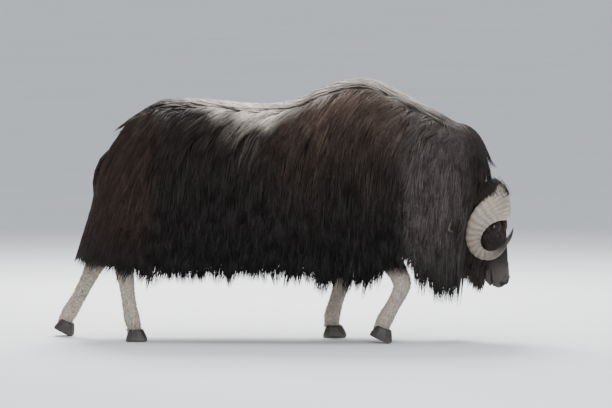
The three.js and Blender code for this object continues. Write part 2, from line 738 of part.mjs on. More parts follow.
head.add(meshOf("head", headSolid(tufts, headCutters), "face"));
for (const [word, side] of Object.entries(SIDES)) {
  const hornRoom = hornSolid(side, GAP);
  head.add(meshOf("horn_" + word, largest(hornSolid(side, 0)), "horn"));
  head.add(meshOf("ear_" + word, largest(loft(earRings(side, 0)).subtract(hornRoom)), "face"));
  const eye = new THREE.Mesh(
    new THREE.SphereGeometry(EYE_RADIUS, 14, 10),
    new THREE.MeshStandardMaterial({ color: COLOURS.eye[0], roughness: COLOURS.eye[1], metalness: 0 }),
  );
  eye.name = "eye_" + word;
  eye.position.copy(mirrored(EYE_PLACE, side));
  head.add(eye);
}

for (const [name, leg] of Object.entries(LEGS)) {
  const hoof = placedHoof(name, leg);
  const room = placedHoof(name, leg).translate([0, 0, GAP]);
  const limb = join([legSolid(leg, 0), ...dewclaws(leg)]).subtract(room).subtract(hoof);
  legs.add(meshOf(name, largest(limb), "stocking"));
  legs.add(meshOf("hoof_" + name, hoof, "hoof"));
}

// Moves the animal so that the origin is under its middle.
const bounds = new THREE.Box3().setFromObject(muskox, true);
const centre = bounds.getCenter(point());
muskox.position.set(-centre.x, -centre.y, -bounds.min.z);

export default muskox;
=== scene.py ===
# %% [markdown]
# # A muskox bull, life size
# The bull walks with its head low, in a coat of long hair that hangs almost to its feet. This lesson
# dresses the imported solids: a skin, the long coat, short hair on face and legs, horns, hooves and
# eyes. The solids are only loaded and never moved, so every new piece lands on them with no fitting.

import math

import bpy
import numpy as np
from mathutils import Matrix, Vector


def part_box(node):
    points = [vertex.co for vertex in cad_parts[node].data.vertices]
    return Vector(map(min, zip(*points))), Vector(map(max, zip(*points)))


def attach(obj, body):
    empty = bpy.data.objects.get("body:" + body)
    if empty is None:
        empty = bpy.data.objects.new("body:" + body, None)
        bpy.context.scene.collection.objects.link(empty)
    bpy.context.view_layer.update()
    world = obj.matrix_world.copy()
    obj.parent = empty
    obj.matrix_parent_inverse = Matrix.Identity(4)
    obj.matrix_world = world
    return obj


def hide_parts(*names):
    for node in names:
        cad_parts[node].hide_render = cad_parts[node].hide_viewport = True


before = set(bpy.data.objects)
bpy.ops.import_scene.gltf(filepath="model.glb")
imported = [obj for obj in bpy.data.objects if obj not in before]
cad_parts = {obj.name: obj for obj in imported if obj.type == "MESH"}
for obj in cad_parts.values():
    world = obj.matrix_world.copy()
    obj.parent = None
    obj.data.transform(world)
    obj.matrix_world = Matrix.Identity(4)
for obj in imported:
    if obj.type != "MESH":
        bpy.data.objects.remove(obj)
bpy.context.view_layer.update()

# %% [markdown]
# The drawings of the solids are in millimetres about the animal's own zero, and the frame's origin is
# on the floor under the middle of its box. The two eyes are the best marks to tie one to the other,
# because they are small and lie on both sides. The head has axes of its own: along the face, across
# to the left, and out of the forehead.

# %% Tie the drawing to the frame
HEAD_PLACE = np.array([993.0, 0.0, 745.0])
HEAD_TILT = math.radians(12)
HEAD_AXES = np.array([
    [math.sin(HEAD_TILT), 0, -math.cos(HEAD_TILT)],
    [0, 1, 0],
    [math.cos(HEAD_TILT), 0, math.sin(HEAD_TILT)],
])
EYE_PLACE = np.array([166.0, 92.0, 38.0])
EYE_RADIUS = 18.0


def from_head(points):
    """Body millimetres of points given as (along, across, out): the head's place plus each share of
    its three axes."""
    return HEAD_PLACE + np.asarray(points, float) @ HEAD_AXES


def to_head(points):
    """The same points seen from the head: each offset from its place, measured on its axes."""
    return (np.asarray(points, float) - HEAD_PLACE) @ HEAD_AXES.T


eye_boxes = np.array([[*corner] for eye in ("eye_left", "eye_right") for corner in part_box(eye)])
between_eyes = (eye_boxes.min(0) + eye_boxes.max(0)) / 2
MOVE = between_eyes - from_head([EYE_PLACE[0], 0, EYE_PLACE[2]]) / 1000


def in_frame(points):
    """Frame metres of points in body millimetres: a thousandth of each, plus the move."""
    return np.asarray(points, float) / 1000 + MOVE


print("the drawing moves by", MOVE.round(4))

# %% [markdown]
# ## Camera
# The photograph was taken with a long lens from far off and hardly above the animal, square to its
# right side. A near camera would make the head look large, so this one stands as far back, and its
# long lens holds the same strip of the scene.

# %% Set the camera
TARGET = in_frame([104, 0, 692])
VIEW_WIDTH = 3.11
SENSOR_WIDTH = 36
AZIMUTH = math.radians(4)
ELEVATION = math.radians(3.5)
DISTANCE = 36.0


def placed(name, data):
    """A new object in the scene that shows the data."""
    made = bpy.data.objects.new(name, data)
    bpy.context.scene.collection.objects.link(made)
    return made


lens_data = bpy.data.cameras.new("camera")
lens_data.sensor_width = SENSOR_WIDTH
lens_data.lens = SENSOR_WIDTH * DISTANCE / VIEW_WIDTH
lens_data.clip_end = 200
camera = placed("camera", lens_data)
back = np.array([
    math.sin(AZIMUTH) * math.cos(ELEVATION),
    -math.cos(AZIMUTH) * math.cos(ELEVATION),
    math.sin(ELEVATION),
])
camera.location = TARGET + back * DISTANCE
camera.rotation_euler = (math.pi / 2 - ELEVATION, 0, AZIMUTH)
bpy.context.scene.camera = camera
print("lens", round(lens_data.lens), "mm at", round(float(camera.location.z), 2), "m above the floor")

# %% [markdown]
# ## Shader expressions
# A material is a little sum: colour times mottling, a mask from a noise. Wiring such sums by hand
# hides them, so one class wraps a socket and lets Python's own signs add the Math nodes.


# %% A socket that can be added and multiplied
class Wire:
    """A shader socket on which arithmetic adds Math nodes."""

    def __init__(self, paint, socket):
        self.paint = paint
        self.socket = socket

    def math(self, operation, other, swap=False):
        """A Math node on this socket and another one or a number."""
        pair = [other, self] if swap else [self, other]
        return self.paint.node("ShaderNodeMath", {"operation": operation}, {0: pair[0], 1: pair[1]})

    def __add__(self, other):
        return self.math("ADD", other)

    def __sub__(self, other):
        return self.math("SUBTRACT", other)

    def __rsub__(self, other):
        return self.math("SUBTRACT", other, swap=True)

    def __mul__(self, other):
        return self.math("MULTIPLY", other)

    __radd__ = __add__
    __rmul__ = __mul__


class Paint:
    """A node material in the making."""

    def __init__(self, name):
        self.material = bpy.data.materials.new(name)
        self.material.use_nodes = True
        self.tree = self.material.node_tree
        self.shader = self.tree.nodes["Principled BSDF"]

    def node(self, kind, settings=None, values=None, out=0):
        """Adds any node: its settings first, then its sockets' values or links."""
        made = self.tree.nodes.new(kind)
        for key, value in (settings or {}).items():
            if key == "stops":
                ramp = made.color_ramp
                for i, (place, colour) in enumerate(value):
                    stop = ramp.elements[i] if i < 2 else ramp.elements.new(place)
                    stop.position = place
                    stop.color = (*colour, 1)
            else:
                setattr(made, key, value)
        for key, value in (values or {}).items():
            self.feed(made.inputs[key], value)
        return Wire(self, made.outputs[out])

    def feed(self, socket, value):
        """Links a wire to a socket, or sets the socket's own value."""
        if isinstance(value, Wire):
            self.tree.links.new(value.socket, socket)
        elif hasattr(socket.default_value, "__len__") and len(socket.default_value) == 4:
            socket.default_value = (*value[:3], 1)
        else:
            socket.default_value = value

    def place(self, scale=(1, 1, 1)):
        """Object coordinates, stretched by a Mapping node."""
        where = self.node("ShaderNodeTexCoord", out="Object")
        return self.node("ShaderNodeMapping", {}, {"Vector": where, "Scale": scale})

    def noise(self, scale, detail=3, where=None, rough=0.55):
        """A cloudy value round one half, on Object coordinates where no others are given."""
        return self.node(
            "ShaderNodeTexNoise", {},
            {"Vector": where or self.place(), "Scale": scale, "Detail": detail, "Roughness": rough},
        )

    def tint(self, mode, share, first, second):
        """Mixes two colours."""
        settings = {"data_type": "RGBA", "blend_type": mode}
        return self.node("ShaderNodeMix", settings, {0: share, 6: first, 7: second}, out=2)

    def stored(self, mask):
        """The colours stored on the mesh's corners, multiplied by a mask."""
        colours = self.node("ShaderNodeAttribute", {"attribute_name": "hair"}, out="Color")
        return self.tint("MULTIPLY", 1.0, colours, mask)

    def range(self, value, low, high):
        """A value from 0 to 1 spread between two others, and held there."""
        values = {"Value": value, "To Min": low, "To Max": high}
        return self.node("ShaderNodeMapRange", {"clamp": True}, values)

    def bump(self, height, strength, distance):
        """A surface direction tilted by the slope of a height."""
        values = {"Height": height, "Strength": strength, "Distance": distance}
        return self.node("ShaderNodeBump", {}, values)

    def finish(self, **sockets):
        """Feeds the shader's sockets by their names and hands the material over."""
        for name, value in sockets.items():
            self.feed(self.shader.inputs[name.replace("_", " ")], value)
        return self.material


# %% [markdown]
# ## The coat's own coordinates
# Hair is combed, so it is drawn in combed coordinates. A station is a length walked round the animal
# from the tail along one side to the brow, and down runs from the ridge of the back to the hem. The
# tips of the coat and the skin under it are two such surfaces, and a hair runs from one to the other.

# %% Tables of the body, as in the solids
RUMP_X = -620
BROW_X = 880
REAR_ARC = 560
FRONT_ARC = 330
RIDGE = BROW_X - RUMP_X
RIGHT, LEFT = -1, 1
SIDES = (("right", RIGHT), ("left", LEFT))

BACK_LINE = np.array([
    (-620, 1228), (-519, 1237), (-300, 1222), (-104, 1209), (60, 1234), (200, 1298),
    (363, 1342), (470, 1326), (554, 1285), (692, 1214), (830, 1142), (880, 1112),
], float)
HALF_WIDTH = np.array([
    (-620, 318), (-300, 358), (0, 370), (300, 368), (500, 338), (700, 282), (880, 212),
], float)
WIDEST_LEVEL = np.array([(-620, 700), (0, 720), (363, 765), (880, 805)], float)
HEM_LINE = np.array([
    (-620, 292), (-300, 290), (0, 311), (90, 300), (160, 258), (300, 250), (450, 258),
    (530, 335), (590, 385), (650, 360), (700, 250), (760, 192), (830, 173), (880, 182),
], float)
BELLY_LINE = np.array([
    (-620, 540), (-300, 495), (0, 480), (300, 495), (500, 525), (700, 505), (880, 575),
], float)
REAR_HEM, FRONT_HEM = 388, 215
FLANK_ROUND, RUMP_ROUND, BROW_ROUND = 0.86, 1.22, 1.05
SKIRT_TUCK, REAR_FLARE, FRONT_RECESS = 0.08, 0.26, 0.95
SKIN = {"crest": 92, "side": 102, "rear": 276, "front": 90, "hangs": False}
TIPS = {"crest": 6, "side": 8, "rear": 370, "front": 174, "hangs": True}


def read(table, place):
    """A smooth curve through a table, read at places: a cubic between each pair of rows, with the
    slope at a row taken from the rows on both sides of it."""
    at, value = table.T
    ends = np.r_[0, np.arange(len(at)), len(at) - 1]
    slope = (value[ends[2:]] - value[ends[:-2]]) / (at[ends[2:]] - at[ends[:-2]])
    i = np.clip(np.searchsorted(at, place, side="right") - 1, 0, len(at) - 2)
    width = at[i + 1] - at[i]
    u = np.clip((place - at[i]) / width, 0, 1)
    return (
        (2 * u**3 - 3 * u**2 + 1) * value[i]
        + (u**3 - 2 * u**2 + u) * width * slope[i]
        + (3 * u**2 - 2 * u**3) * value[i + 1]
        + (u**3 - u**2) * width * slope[i + 1]
    )


def unit(vectors):
    """The same vectors at length 1: each divided by its own length."""
    return vectors / (np.linalg.norm(vectors, axis=-1, keepdims=True) + 1e-9)


def layer_point(layer, side, station, down):
    """A point of a layer. Above the widest level the half width grows as a power of the sine of half
    a turn times down and the height falls as the same power of its cosine. Below it the tips hang
    straight to the hem, and the skin closes under the belly along a quarter of an oval."""
    past = np.abs(station) - REAR_ARC
    behind = past < 0
    x = RUMP_X + np.clip(past, 0, RIDGE)
    turn = np.where(behind, past / REAR_ARC, np.clip((past - RIDGE) / FRONT_ARC, 0, 1)) * (np.pi / 2)
    side = np.where(station < 0, -side, side)
    end = np.abs(np.sin(turn))
    power = FLANK_ROUND + (np.where(behind, RUMP_ROUND, BROW_ROUND) - FLANK_ROUND) * end
    widest = read(WIDEST_LEVEL, x)
    upper = down <= 0.5
    fall = np.clip(2 * down - 1, 0, 1.15)
    angle = np.pi * np.clip(down, 0, 0.5)
    swell = np.clip(np.sin(angle), 1e-9, 1) ** power
    rise = (read(BACK_LINE, x) - layer["crest"] - widest) * np.clip(np.cos(angle), 0, 1) ** power
    if layer["hangs"]:
        hem_end = np.where(behind, REAR_HEM, FRONT_HEM)
        hem = read(HEM_LINE, x) + (hem_end - read(HEM_LINE, x)) * end**2
        out_side = np.where(upper, swell, 1 - SKIRT_TUCK * fall**2)
        out_end = np.where(upper, swell, 1 + np.where(behind, REAR_FLARE, -FRONT_RECESS) * fall)
        z = widest + np.where(upper, rise, (hem - widest) * fall)
    else:
        under = np.clip(fall, 0, 1) * np.pi / 2
        closing = np.clip(np.cos(under), 1e-9, 1) ** power
        out_side = np.where(upper, swell, closing)
        out_end = out_side
        sag = (read(BELLY_LINE, x) - widest) * np.sin(under) ** power
        z = widest + np.where(upper, rise, sag)
    reach = np.where(behind, layer["rear"], layer["front"])
    half = read(HALF_WIDTH, x) - layer["side"]
    return np.stack([
        x + np.sin(turn) * reach * out_end,
        side * np.cos(turn) * half * out_side,
        z,
    ], -1)


def coat_point(side, station, down, inset):
    """A point in the coat and the way out of it: from the tips, walked inset millimetres towards the
    skin at the same station and down."""
    tips = layer_point(TIPS, side, station, down)
    inwards = unit(layer_point(SKIN, side, station, down) - tips)
    return tips + inwards * inset[..., None], -inwards


hump_top = layer_point(TIPS, RIGHT, np.array([REAR_ARC + 363.0 - RUMP_X]), np.array([0.0]))
print("top of the hump:", hump_top.round(1))

# %% [markdown]
# ## Markings
# A muskox is nearly black on its flanks, with a pale saddle behind the hump, brown shoulders, a greyish
# neck, and off-white hair from the knees down. The flanks darken towards the hem, as dark hair with
# painted shade, and a pale band along the ridge is painted rim light. Skin and hair ask one function
# for their colour, so they always carry the same markings.

# %% The colour at a place on the animal
DARK_HAIR_AND_SHADE = np.array([0.0085, 0.0068, 0.0064])
FLANK = np.array([0.0150, 0.0108, 0.0090])
HUMP = np.array([0.088, 0.056, 0.041])
MANE = np.array([0.074, 0.062, 0.057])
PAINTED_RIM_LIGHT = np.array([0.52, 0.465, 0.42])
SADDLE = np.array([0.70, 0.63, 0.54])
RUFOUS = np.array([0.048, 0.025, 0.016])
STOCKING = np.array([0.46, 0.40, 0.335])
FACE = np.array([0.020, 0.0150, 0.0125])
MUZZLE = np.array([0.080, 0.070, 0.064])
EAR = np.array([0.19, 0.16, 0.14])
BARE_SKIN = np.array([0.008, 0.0065, 0.006])


def step(low, high, value):
    """A share that rises smoothly from 0 at low to 1 at high."""
    u = np.clip((value - low) / (high - low), 0, 1)
    return u * u * (3 - 2 * u)


def over(base, colour, share):
    """One colour laid over another by a share."""
    return base + (colour - base) * np.asarray(share)[..., None]


def coat_colour(points):
    """The hair's colour at points in body millimetres: each marking is laid over the last by how far
    the point is inside it."""
    x, y, z = points[..., 0], points[..., 1], points[..., 2]
    crest = read(BACK_LINE, x)
    below = crest - z
    # Darker from the middle of the flank down to the hem: dark hair, with painted shade of the lower
    # body.
    colour = over(np.broadcast_to(FLANK, points.shape), DARK_HAIR_AND_SHADE, step(260, 640, below))
    wander = 16 * np.sin(x / 47.0) + 11 * np.sin(x / 21.0 + 1.7) + 9 * np.sin(y / 33.0)
    hump = step(360, 60, below + 2 * wander) * step(-60, 150, x) * step(760, 560, x)
    colour = over(colour, HUMP, hump * 0.9)
    colour = over(colour, RUFOUS, step(-560, -760, x) * step(900, 420, below) * 0.55)
    mane = step(560, 700, x + 2 * wander) * step(330, 620, z) * step(980, 860, x)
    colour = over(colour, MANE, mane * 0.85)
    # A pale band along the top of the back: painted rim light, as if light from behind catches the
    # ridge.
    rim = step(78, 20, below + wander) * step(-640, -500, x) * step(860, 640, x)
    colour = over(colour, PAINTED_RIM_LIGHT, rim * 0.8)
    saddle = step(150, 62, below + wander + 0.22 * np.abs(x + 130))
    return over(colour, SADDLE, saddle * step(-480, -350, x) * step(130, 0, x))


print("saddle colour:", coat_colour(np.array([[-110.0, 0.0, 1205.0]])).round(2))

# %% [markdown]
# ## Making meshes from arrays
# Each surface below is a grid of points worked out at once. One helper turns rings into a closed
# shell with a fan at each end, one makes the mesh, and it turns a shell the right way round by the
# sign of its volume.


# %% Mesh helpers
def closed_tube(rings):
    """Corners and faces of a closed shell through rings of points: four-sided faces between rings,
    and a fan round the middle of the first and the last ring."""
    rows, columns = rings.shape[:2]
    corners = np.concatenate([rings.reshape(-1, 3), rings[0].mean(0)[None], rings[-1].mean(0)[None]])
    i, j = np.meshgrid(np.arange(rows - 1), np.arange(columns), indexing="ij")
    after = (j + 1) % columns
    quads = np.stack([
        i * columns + j, i * columns + after, (i + 1) * columns + after, (i + 1) * columns + j,
    ], -1).reshape(-1, 4)
    around = np.arange(columns)
    onward = (around + 1) % columns
    first = np.stack([onward, around, np.full(columns, rows * columns)], -1)
    last_row = (rows - 1) * columns
    last = np.stack([last_row + around, last_row + onward, np.full(columns, rows * columns + 1)], -1)
    return corners, quads, np.concatenate([first, last])


def volume_of(corners, quads, tris):
    """Six times the signed volume: the sum over triangles of the first corner's product with the
    cross product of the other two."""
    all_tris = np.concatenate([quads[:, [0, 1, 2]], quads[:, [0, 2, 3]], tris]) if len(quads) else tris
    a, b, c = (corners[all_tris[:, k]] for k in range(3))
    return float(np.einsum("ij,ij->", a, np.cross(b, c)))


def mesh_of(name, corners, quads, tris):
    """A mesh from arrays, turned outwards."""
    if volume_of(corners, quads, tris) < 0:
        quads, tris = quads[:, ::-1], tris[:, ::-1]
    mesh = bpy.data.meshes.new(name)
    mesh.vertices.add(len(corners))
    mesh.vertices.foreach_set("co", np.ascontiguousarray(corners, np.float32).ravel())
    loops = np.concatenate([quads.ravel(), tris.ravel()]).astype(np.int32)
    sizes = np.concatenate([np.full(len(quads), 4), np.full(len(tris), 3)]).astype(np.int32)
    mesh.loops.add(len(loops))
    mesh.loops.foreach_set("vertex_index", loops)
    mesh.polygons.add(len(sizes))
    starts = np.concatenate([[0], np.cumsum(sizes)[:-1]]).astype(np.int32)
    mesh.polygons.foreach_set("loop_start", starts)
    mesh.polygons.foreach_set("use_smooth", np.ones(len(sizes), bool))
    mesh.update(calc_edges=True)
    mesh.validate()
    return mesh


def add_colour(mesh, colours):
    """Stores one colour for each corner of the mesh under the name that the materials read."""
    layer = mesh.attributes.new("hair", "FLOAT_COLOR", "POINT")
    four = np.ones((len(colours), 4), np.float32)
    four[:, :3] = colours
    layer.data.foreach_set("color", four.ravel())


def piece(name, mesh, material, slot, *nodes):
    """An object at the origin that rides with the model and stands for some of its solids."""
    made = placed(name, mesh)
    mesh.materials.clear()
    mesh.materials.append(material)
    if nodes:
        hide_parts(*nodes)
    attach(made, "root")


def united(parts, voxel=None, rounds=5):
    """Several closed shells joined into one by the boolean modifier, and melted together by a voxel
    remesh and rounds of smoothing where a voxel size is given."""
    objects = [placed("part_%d" % k, mesh_of("part_%d" % k, *part)) for k, part in enumerate(parts)]
    for other in objects[1:]:
        join = objects[0].modifiers.new("join", "BOOLEAN")
        join.operation = "UNION"
        join.solver = "MANIFOLD"
        join.object = other
    if voxel:
        melt = objects[0].modifiers.new("melt", "REMESH")
        melt.mode = "VOXEL"
        melt.voxel_size = voxel
        ease = objects[0].modifiers.new("ease", "SMOOTH")
        ease.iterations = rounds
        ease.factor = 0.5
    bpy.context.view_layer.update()
    evaluated = objects[0].evaluated_get(bpy.context.evaluated_depsgraph_get())
    mesh = bpy.data.meshes.new_from_object(evaluated)
    for made in objects:
        bpy.data.objects.remove(made)
    return mesh


def numbers(items, name, width=3, kind=np.float32):
    """One property of each of Blender's items, such as a place or an area, as an array."""
    flat = np.empty(len(items) * width, kind)
    items.foreach_get(name, flat)
    return flat.reshape(-1, width) if width > 1 else flat


def corners_of(mesh):
    """The places of the mesh's corners."""
    return numbers(mesh.vertices, "co").astype(float)


def faces_of(mesh):
    """The mesh's four-sided faces and its three-sided ones, as two arrays of corner numbers."""
    corner = numbers(mesh.loops, "vertex_index", 1, np.int32)
    sizes = numbers(mesh.polygons, "loop_total", 1, np.int32)
    starts = np.cumsum(sizes) - sizes
    return [corner[starts[sizes == size][:, None] + np.arange(size)] for size in (4, 3)]


def signed_power(wave, power):
    """A wave raised to a power, with its sign kept."""
    return np.sign(wave) * np.abs(wave) ** power


def oval(middle, u, half_u, v, half_v, count, power):
    """A ring round a middle: the cosine and sine of the turn, each raised to a power with its sign
    kept, times the two half widths."""
    turn = np.linspace(0, 2 * np.pi, count, endpoint=False)
    along_u = np.outer(signed_power(np.cos(turn), power) * half_u, u)
    return middle + along_u + np.outer(signed_power(np.sin(turn), power) * half_v, v)


def ball(middle, halves, rows=16, columns=24):
    """A ball stretched to three half sizes: the sine and cosine of the latitude times a ring."""
    latitude = np.linspace(0.03, np.pi - 0.03, rows)
    turn = np.linspace(0, 2 * np.pi, columns, endpoint=False)
    rings = np.stack([
        np.outer(np.cos(latitude), np.ones(columns)),
        np.outer(np.sin(latitude), np.cos(turn)),
        np.outer(np.sin(latitude), np.sin(turn)),
    ], -1)
    return closed_tube(middle + rings * np.array(halves))


def refined(rows, steps):
    """Rows of numbers run through smoothly: a cubic through each column, at even steps."""
    rows = np.asarray(rows, float)
    at = np.arange(len(rows), dtype=float)
    where = np.linspace(0, len(rows) - 1, steps)
    return np.stack([read(np.stack([at, column], -1), where) for column in rows.T], -1)


print("mesh helpers ready")

# %% [markdown]
# ## The body under the hair
# Under its hair the bull is a deep, narrow barrel on short legs. The skin lies as far below the tips
# as the hair is deep, and its only work is to stop the eye where the hair parts.

# %% Trunk and legs
station_rows = np.concatenate([
    np.linspace(2, REAR_ARC, 26), np.linspace(REAR_ARC, REAR_ARC + RIDGE, 80)[1:],
    np.linspace(REAR_ARC + RIDGE, REAR_ARC + RIDGE + FRONT_ARC - 2, 20)[1:],
])
downs = np.linspace(0.004, 0.996, 40)
right_half = layer_point(SKIN, RIGHT, station_rows[:, None], downs[None, :])
left_half = layer_point(SKIN, LEFT, station_rows[:, None], downs[None, ::-1])
trunk_shell = closed_tube(np.concatenate([right_half, left_half], 1))

LEGS = {
    "foreleg_right": (RIGHT, [
        (452, 150, 650, 98, 72), (466, 162, 560, 92, 66), (520, 170, 460, 72, 56),
        (580, 175, 360, 55, 49), (602, 176, 305, 53, 49), (590, 177, 255, 46, 44),
        (556, 178, 190, 43, 41), (518, 178, 122, 47, 46), (500, 178, 84, 44, 45), (494, 178, 66, 42, 44),
    ]),
    "foreleg_left": (LEFT, [
        (425, 150, 650, 98, 72), (408, 162, 560, 92, 66), (350, 170, 450, 72, 56),
        (298, 173, 355, 55, 49), (282, 174, 305, 53, 49), (268, 175, 255, 46, 44),
        (246, 176, 185, 43, 41), (228, 176, 118, 47, 46), (224, 176, 80, 44, 46), (226, 176, 64, 44, 46),
    ]),
    "hindleg_right": (RIGHT, [
        (-690, 150, 720, 150, 84), (-668, 164, 580, 122, 78), (-735, 168, 480, 84, 60),
        (-800, 168, 410, 62, 48), (-806, 168, 360, 54, 44), (-796, 169, 290, 46, 41),
        (-784, 169, 200, 42, 39), (-770, 170, 122, 46, 44), (-760, 170, 82, 43, 44),
        (-758, 170, 64, 42, 44),
    ]),
    "hindleg_left": (LEFT, [
        (-690, 150, 720, 150, 84), (-705, 164, 585, 122, 78), (-830, 168, 500, 84, 60),
        (-950, 168, 425, 62, 48), (-985, 168, 372, 54, 44), (-1025, 169, 295, 46, 41),
        (-1070, 169, 208, 42, 39), (-1116, 170, 130, 46, 44), (-1138, 170, 90, 43, 44),
        (-1146, 170, 70, 41, 43),
    ]),
}
LEG_HAIR = 9
ACROSS = np.array([0, 1, 0])


def leg_shell(side, line):
    """A leg: a ring at each step of its middle line, square to the line, less the depth of hair."""
    rows = refined(line, 60)
    places = rows[:, :3] * [1, side, 1]
    run = unit(np.gradient(places, axis=0))
    run[0] = run[-1] = (0, 0, -1)
    rings = [
        oval(place, np.cross(ACROSS, way), fore - LEG_HAIR, ACROSS, across - LEG_HAIR, 32, 0.95)
        for place, way, (fore, across) in zip(places, run, rows[:, 3:])
    ]
    return closed_tube(np.array(rings))


TAIL_LINE = [
    (-815, 1005, 26, 20), (-872, 985, 34, 25), (-918, 935, 38, 27), (-948, 870, 36, 25),
    (-966, 805, 26, 18), (-974, 755, 8, 6),
]
TAIL_BACK = np.array([-0.9, 0, -0.44])


def tail_shell():
    """The tail: rings of six tenths of the brush's size along its line in the middle plane."""
    rings = [
        oval(np.array([x, 0, z]), ACROSS, half * 0.6, TAIL_BACK, thick * 0.6, 16, 1)
        for x, z, half, thick in refined(TAIL_LINE, 20)
    ]
    return closed_tube(np.array(rings))


leg_shells = [leg_shell(side, line) for side, line in LEGS.values()]
print("trunk corners", len(trunk_shell[0]), "and legs", len(leg_shells))

# %% [markdown]
# ## The head
# The head is long and blunt, widest at the eyes, with a square muzzle. A cleft lip, nostrils like
# commas and thick lids sit on that form. Skull, jaw, brows and the wings of the nose are drawn as
# ovals, melted into one surface by a voxel remesh, and then the finer forms are pushed in and out
# of it point by point.

# %% Head form
HEAD_FORM = [
    (-62, 34, 66, 66), (-34, 64, 94, 96), (0, 80, 110, 112), (60, 90, 122, 121),
    (130, 94, 122, 119), (180, 92, 114, 109), (240, 84, 98, 92), (300, 75, 82, 79),
    (355, 68, 66, 72), (405, 63, 52, 71), (440, 56, 44, 67), (464, 43, 36, 55),
    (479, 22, 20, 33), (484, 6, 6, 12),
]
JAW_ROWS = [
    (190, -86, 58, 34), (240, -84, 58, 36), (300, -72, 54, 33), (360, -58, 51, 31),
    (410, -47, 50, 30), (440, -40, 46, 27), (458, -36, 35, 19), (466, -34, 12, 6),
]
SKULL_ROWS = np.array([
    (along, (front - rear) / 2, half, (front + rear) / 2) for along, front, rear, half in HEAD_FORM
])
SWELLINGS = [((158, 76, 42), (44, 31, 34)), ((444, 40, 30), (28, 24, 25)), (EYE_PLACE, (22, 22, 22))]
OUT = np.array([0, 0, 1])
FACE_HAIR = 3
HEAD_VOXEL = 0.003


def head_shell(rows, steps):
    """A part of the head: rounded rings across the face, each with its level, width and depth, less
    the depth of hair."""
    rings = [
        oval(np.array([along, 0, level]), ACROSS, half - FACE_HAIR, OUT, depth - FACE_HAIR, 48, 0.9)
        for along, level, half, depth in refined(rows, steps)
    ]
    return closed_tube(np.array(rings))


head_parts = [head_shell(SKULL_ROWS, 70), head_shell(JAW_ROWS, 40)]
for side in (RIGHT, LEFT):
    head_parts += [ball(np.array(middle) * [1, side, 1], halves) for middle, halves in SWELLINGS]
head_mesh = united([(corners / 1000, quads, tris) for corners, quads, tris in head_parts], HEAD_VOXEL)
head_points = corners_of(head_mesh) * 1000
print("head corners", len(head_points))


# %% Lids, nostrils and mouth
LID_TILT = math.radians(-18)
LID_REACH, LID_BALL, SOCKET_BALL = 34, 22.6, 15.5
OPENING_HALVES = (18.5, 10.5)
NOSTRIL = (458, 43)


def above_mouth(along, out):
    """Height above the mouth's line, which sinks a little towards the tip of the muzzle."""
    return out + 27 + (along - 378) * 0.13


def shape_lids(points):
    """Lids round each eye. In the plane of the face's side, inside a pointed oval the skin drops
    behind the eyeball, and outside it the skin rises to a little more than the eyeball's radius,
    fading to its own level by 34 mm away."""
    made = points.copy()
    for side in (RIGHT, LEFT):
        x, level, z = ((made - EYE_PLACE * [1, side, 1]) * [1, side, 1]).T
        u = x * math.cos(LID_TILT) + z * math.sin(LID_TILT)
        v = z * math.cos(LID_TILT) - x * math.sin(LID_TILT)
        far = np.hypot(u, v)
        near = (far < LID_REACH) & (level > -2)
        edge = OPENING_HALVES[1] * np.clip(1 - (u / OPENING_HALVES[0]) ** 2, 0.02, 1)
        open_share = (1 - step(0.85, 1.1, np.abs(v) / edge)) * (np.abs(u) < 18)
        flat = np.clip(far**2, 0, 21.4**2)
        lid = np.sqrt(LID_BALL**2 - flat)
        behind = np.sqrt(np.clip(SOCKET_BALL**2 - flat, 0, None))
        fade = step(LID_REACH, 21, far)
        crease = 2.2 * np.exp(-(((np.abs(v) - 15) / 2.2) ** 2)) * (np.abs(u) < 20)
        raised = level + (np.maximum(level, lid) - level) * fade - crease * fade
        lowered = raised + (np.minimum(behind, raised) - raised) * open_share
        made[near, 1] = (EYE_PLACE[1] + lowered[near]) * side
    return made


def shape_muzzle(points, normals):
    """Nostrils are comma-shaped pits that open forwards and outwards, and the mouth is a groove round
    the muzzle with a lip rolled on both sides of it."""
    a, y, n = points.T
    depth = np.zeros(len(points))
    for side in (RIGHT, LEFT):
        forward, outward = a - NOSTRIL[0], y * side - NOSTRIL[1]
        u = forward * 0.8 + outward * 0.6
        v = outward * 0.8 - forward * 0.6
        pit = 1.35 * np.exp(-((u / 13) ** 2 + ((v + 0.012 * u**2) / 6.5) ** 2)) * (n > 5)
        rim = np.exp(-((np.sqrt((u / 16) ** 2 + (v / 10) ** 2) - 1.25) ** 2) * 14) * (n > 5)
        depth += 14 * pit - 2.4 * rim
    mouth = above_mouth(a, n)
    front = step(372, 392, a)
    groove = np.exp(-((mouth / 3.6) ** 2)) * front
    lips = np.exp(-(((np.abs(mouth) - 9) / 6) ** 2)) * front
    cleft = np.exp(-((y / 4.5) ** 2)) * step(446, 466, a) * (n < 46) * (mouth > 0)
    depth += 7 * groove - 2.4 * lips + 5 * cleft
    folds = np.sin(a / 6.5) * step(425, 400, a) * step(330, 360, a) * step(0, 30, n)
    return points - normals * (depth - 0.5 * folds)[:, None]


head_points = shape_lids(shape_muzzle(head_points, numbers(head_mesh.vertices, "normal")))
print("tip of the muzzle", head_points[:, 0].max().round(1))

# %% [markdown]
# ## Ears
# The ears are short and half lost in the hair behind the horns. An ear is a leaf rolled into a cup,
# so its rings are drawn with a back and a front edge, and the cup is how far their middle sinks.

# %% Ear shells
EAR_ROOT = np.array([84.0, 112.0, -112.0])
EAR_AIM = unit(np.array([0.34, 0.82, -0.46]))
EAR_LENGTH = 150


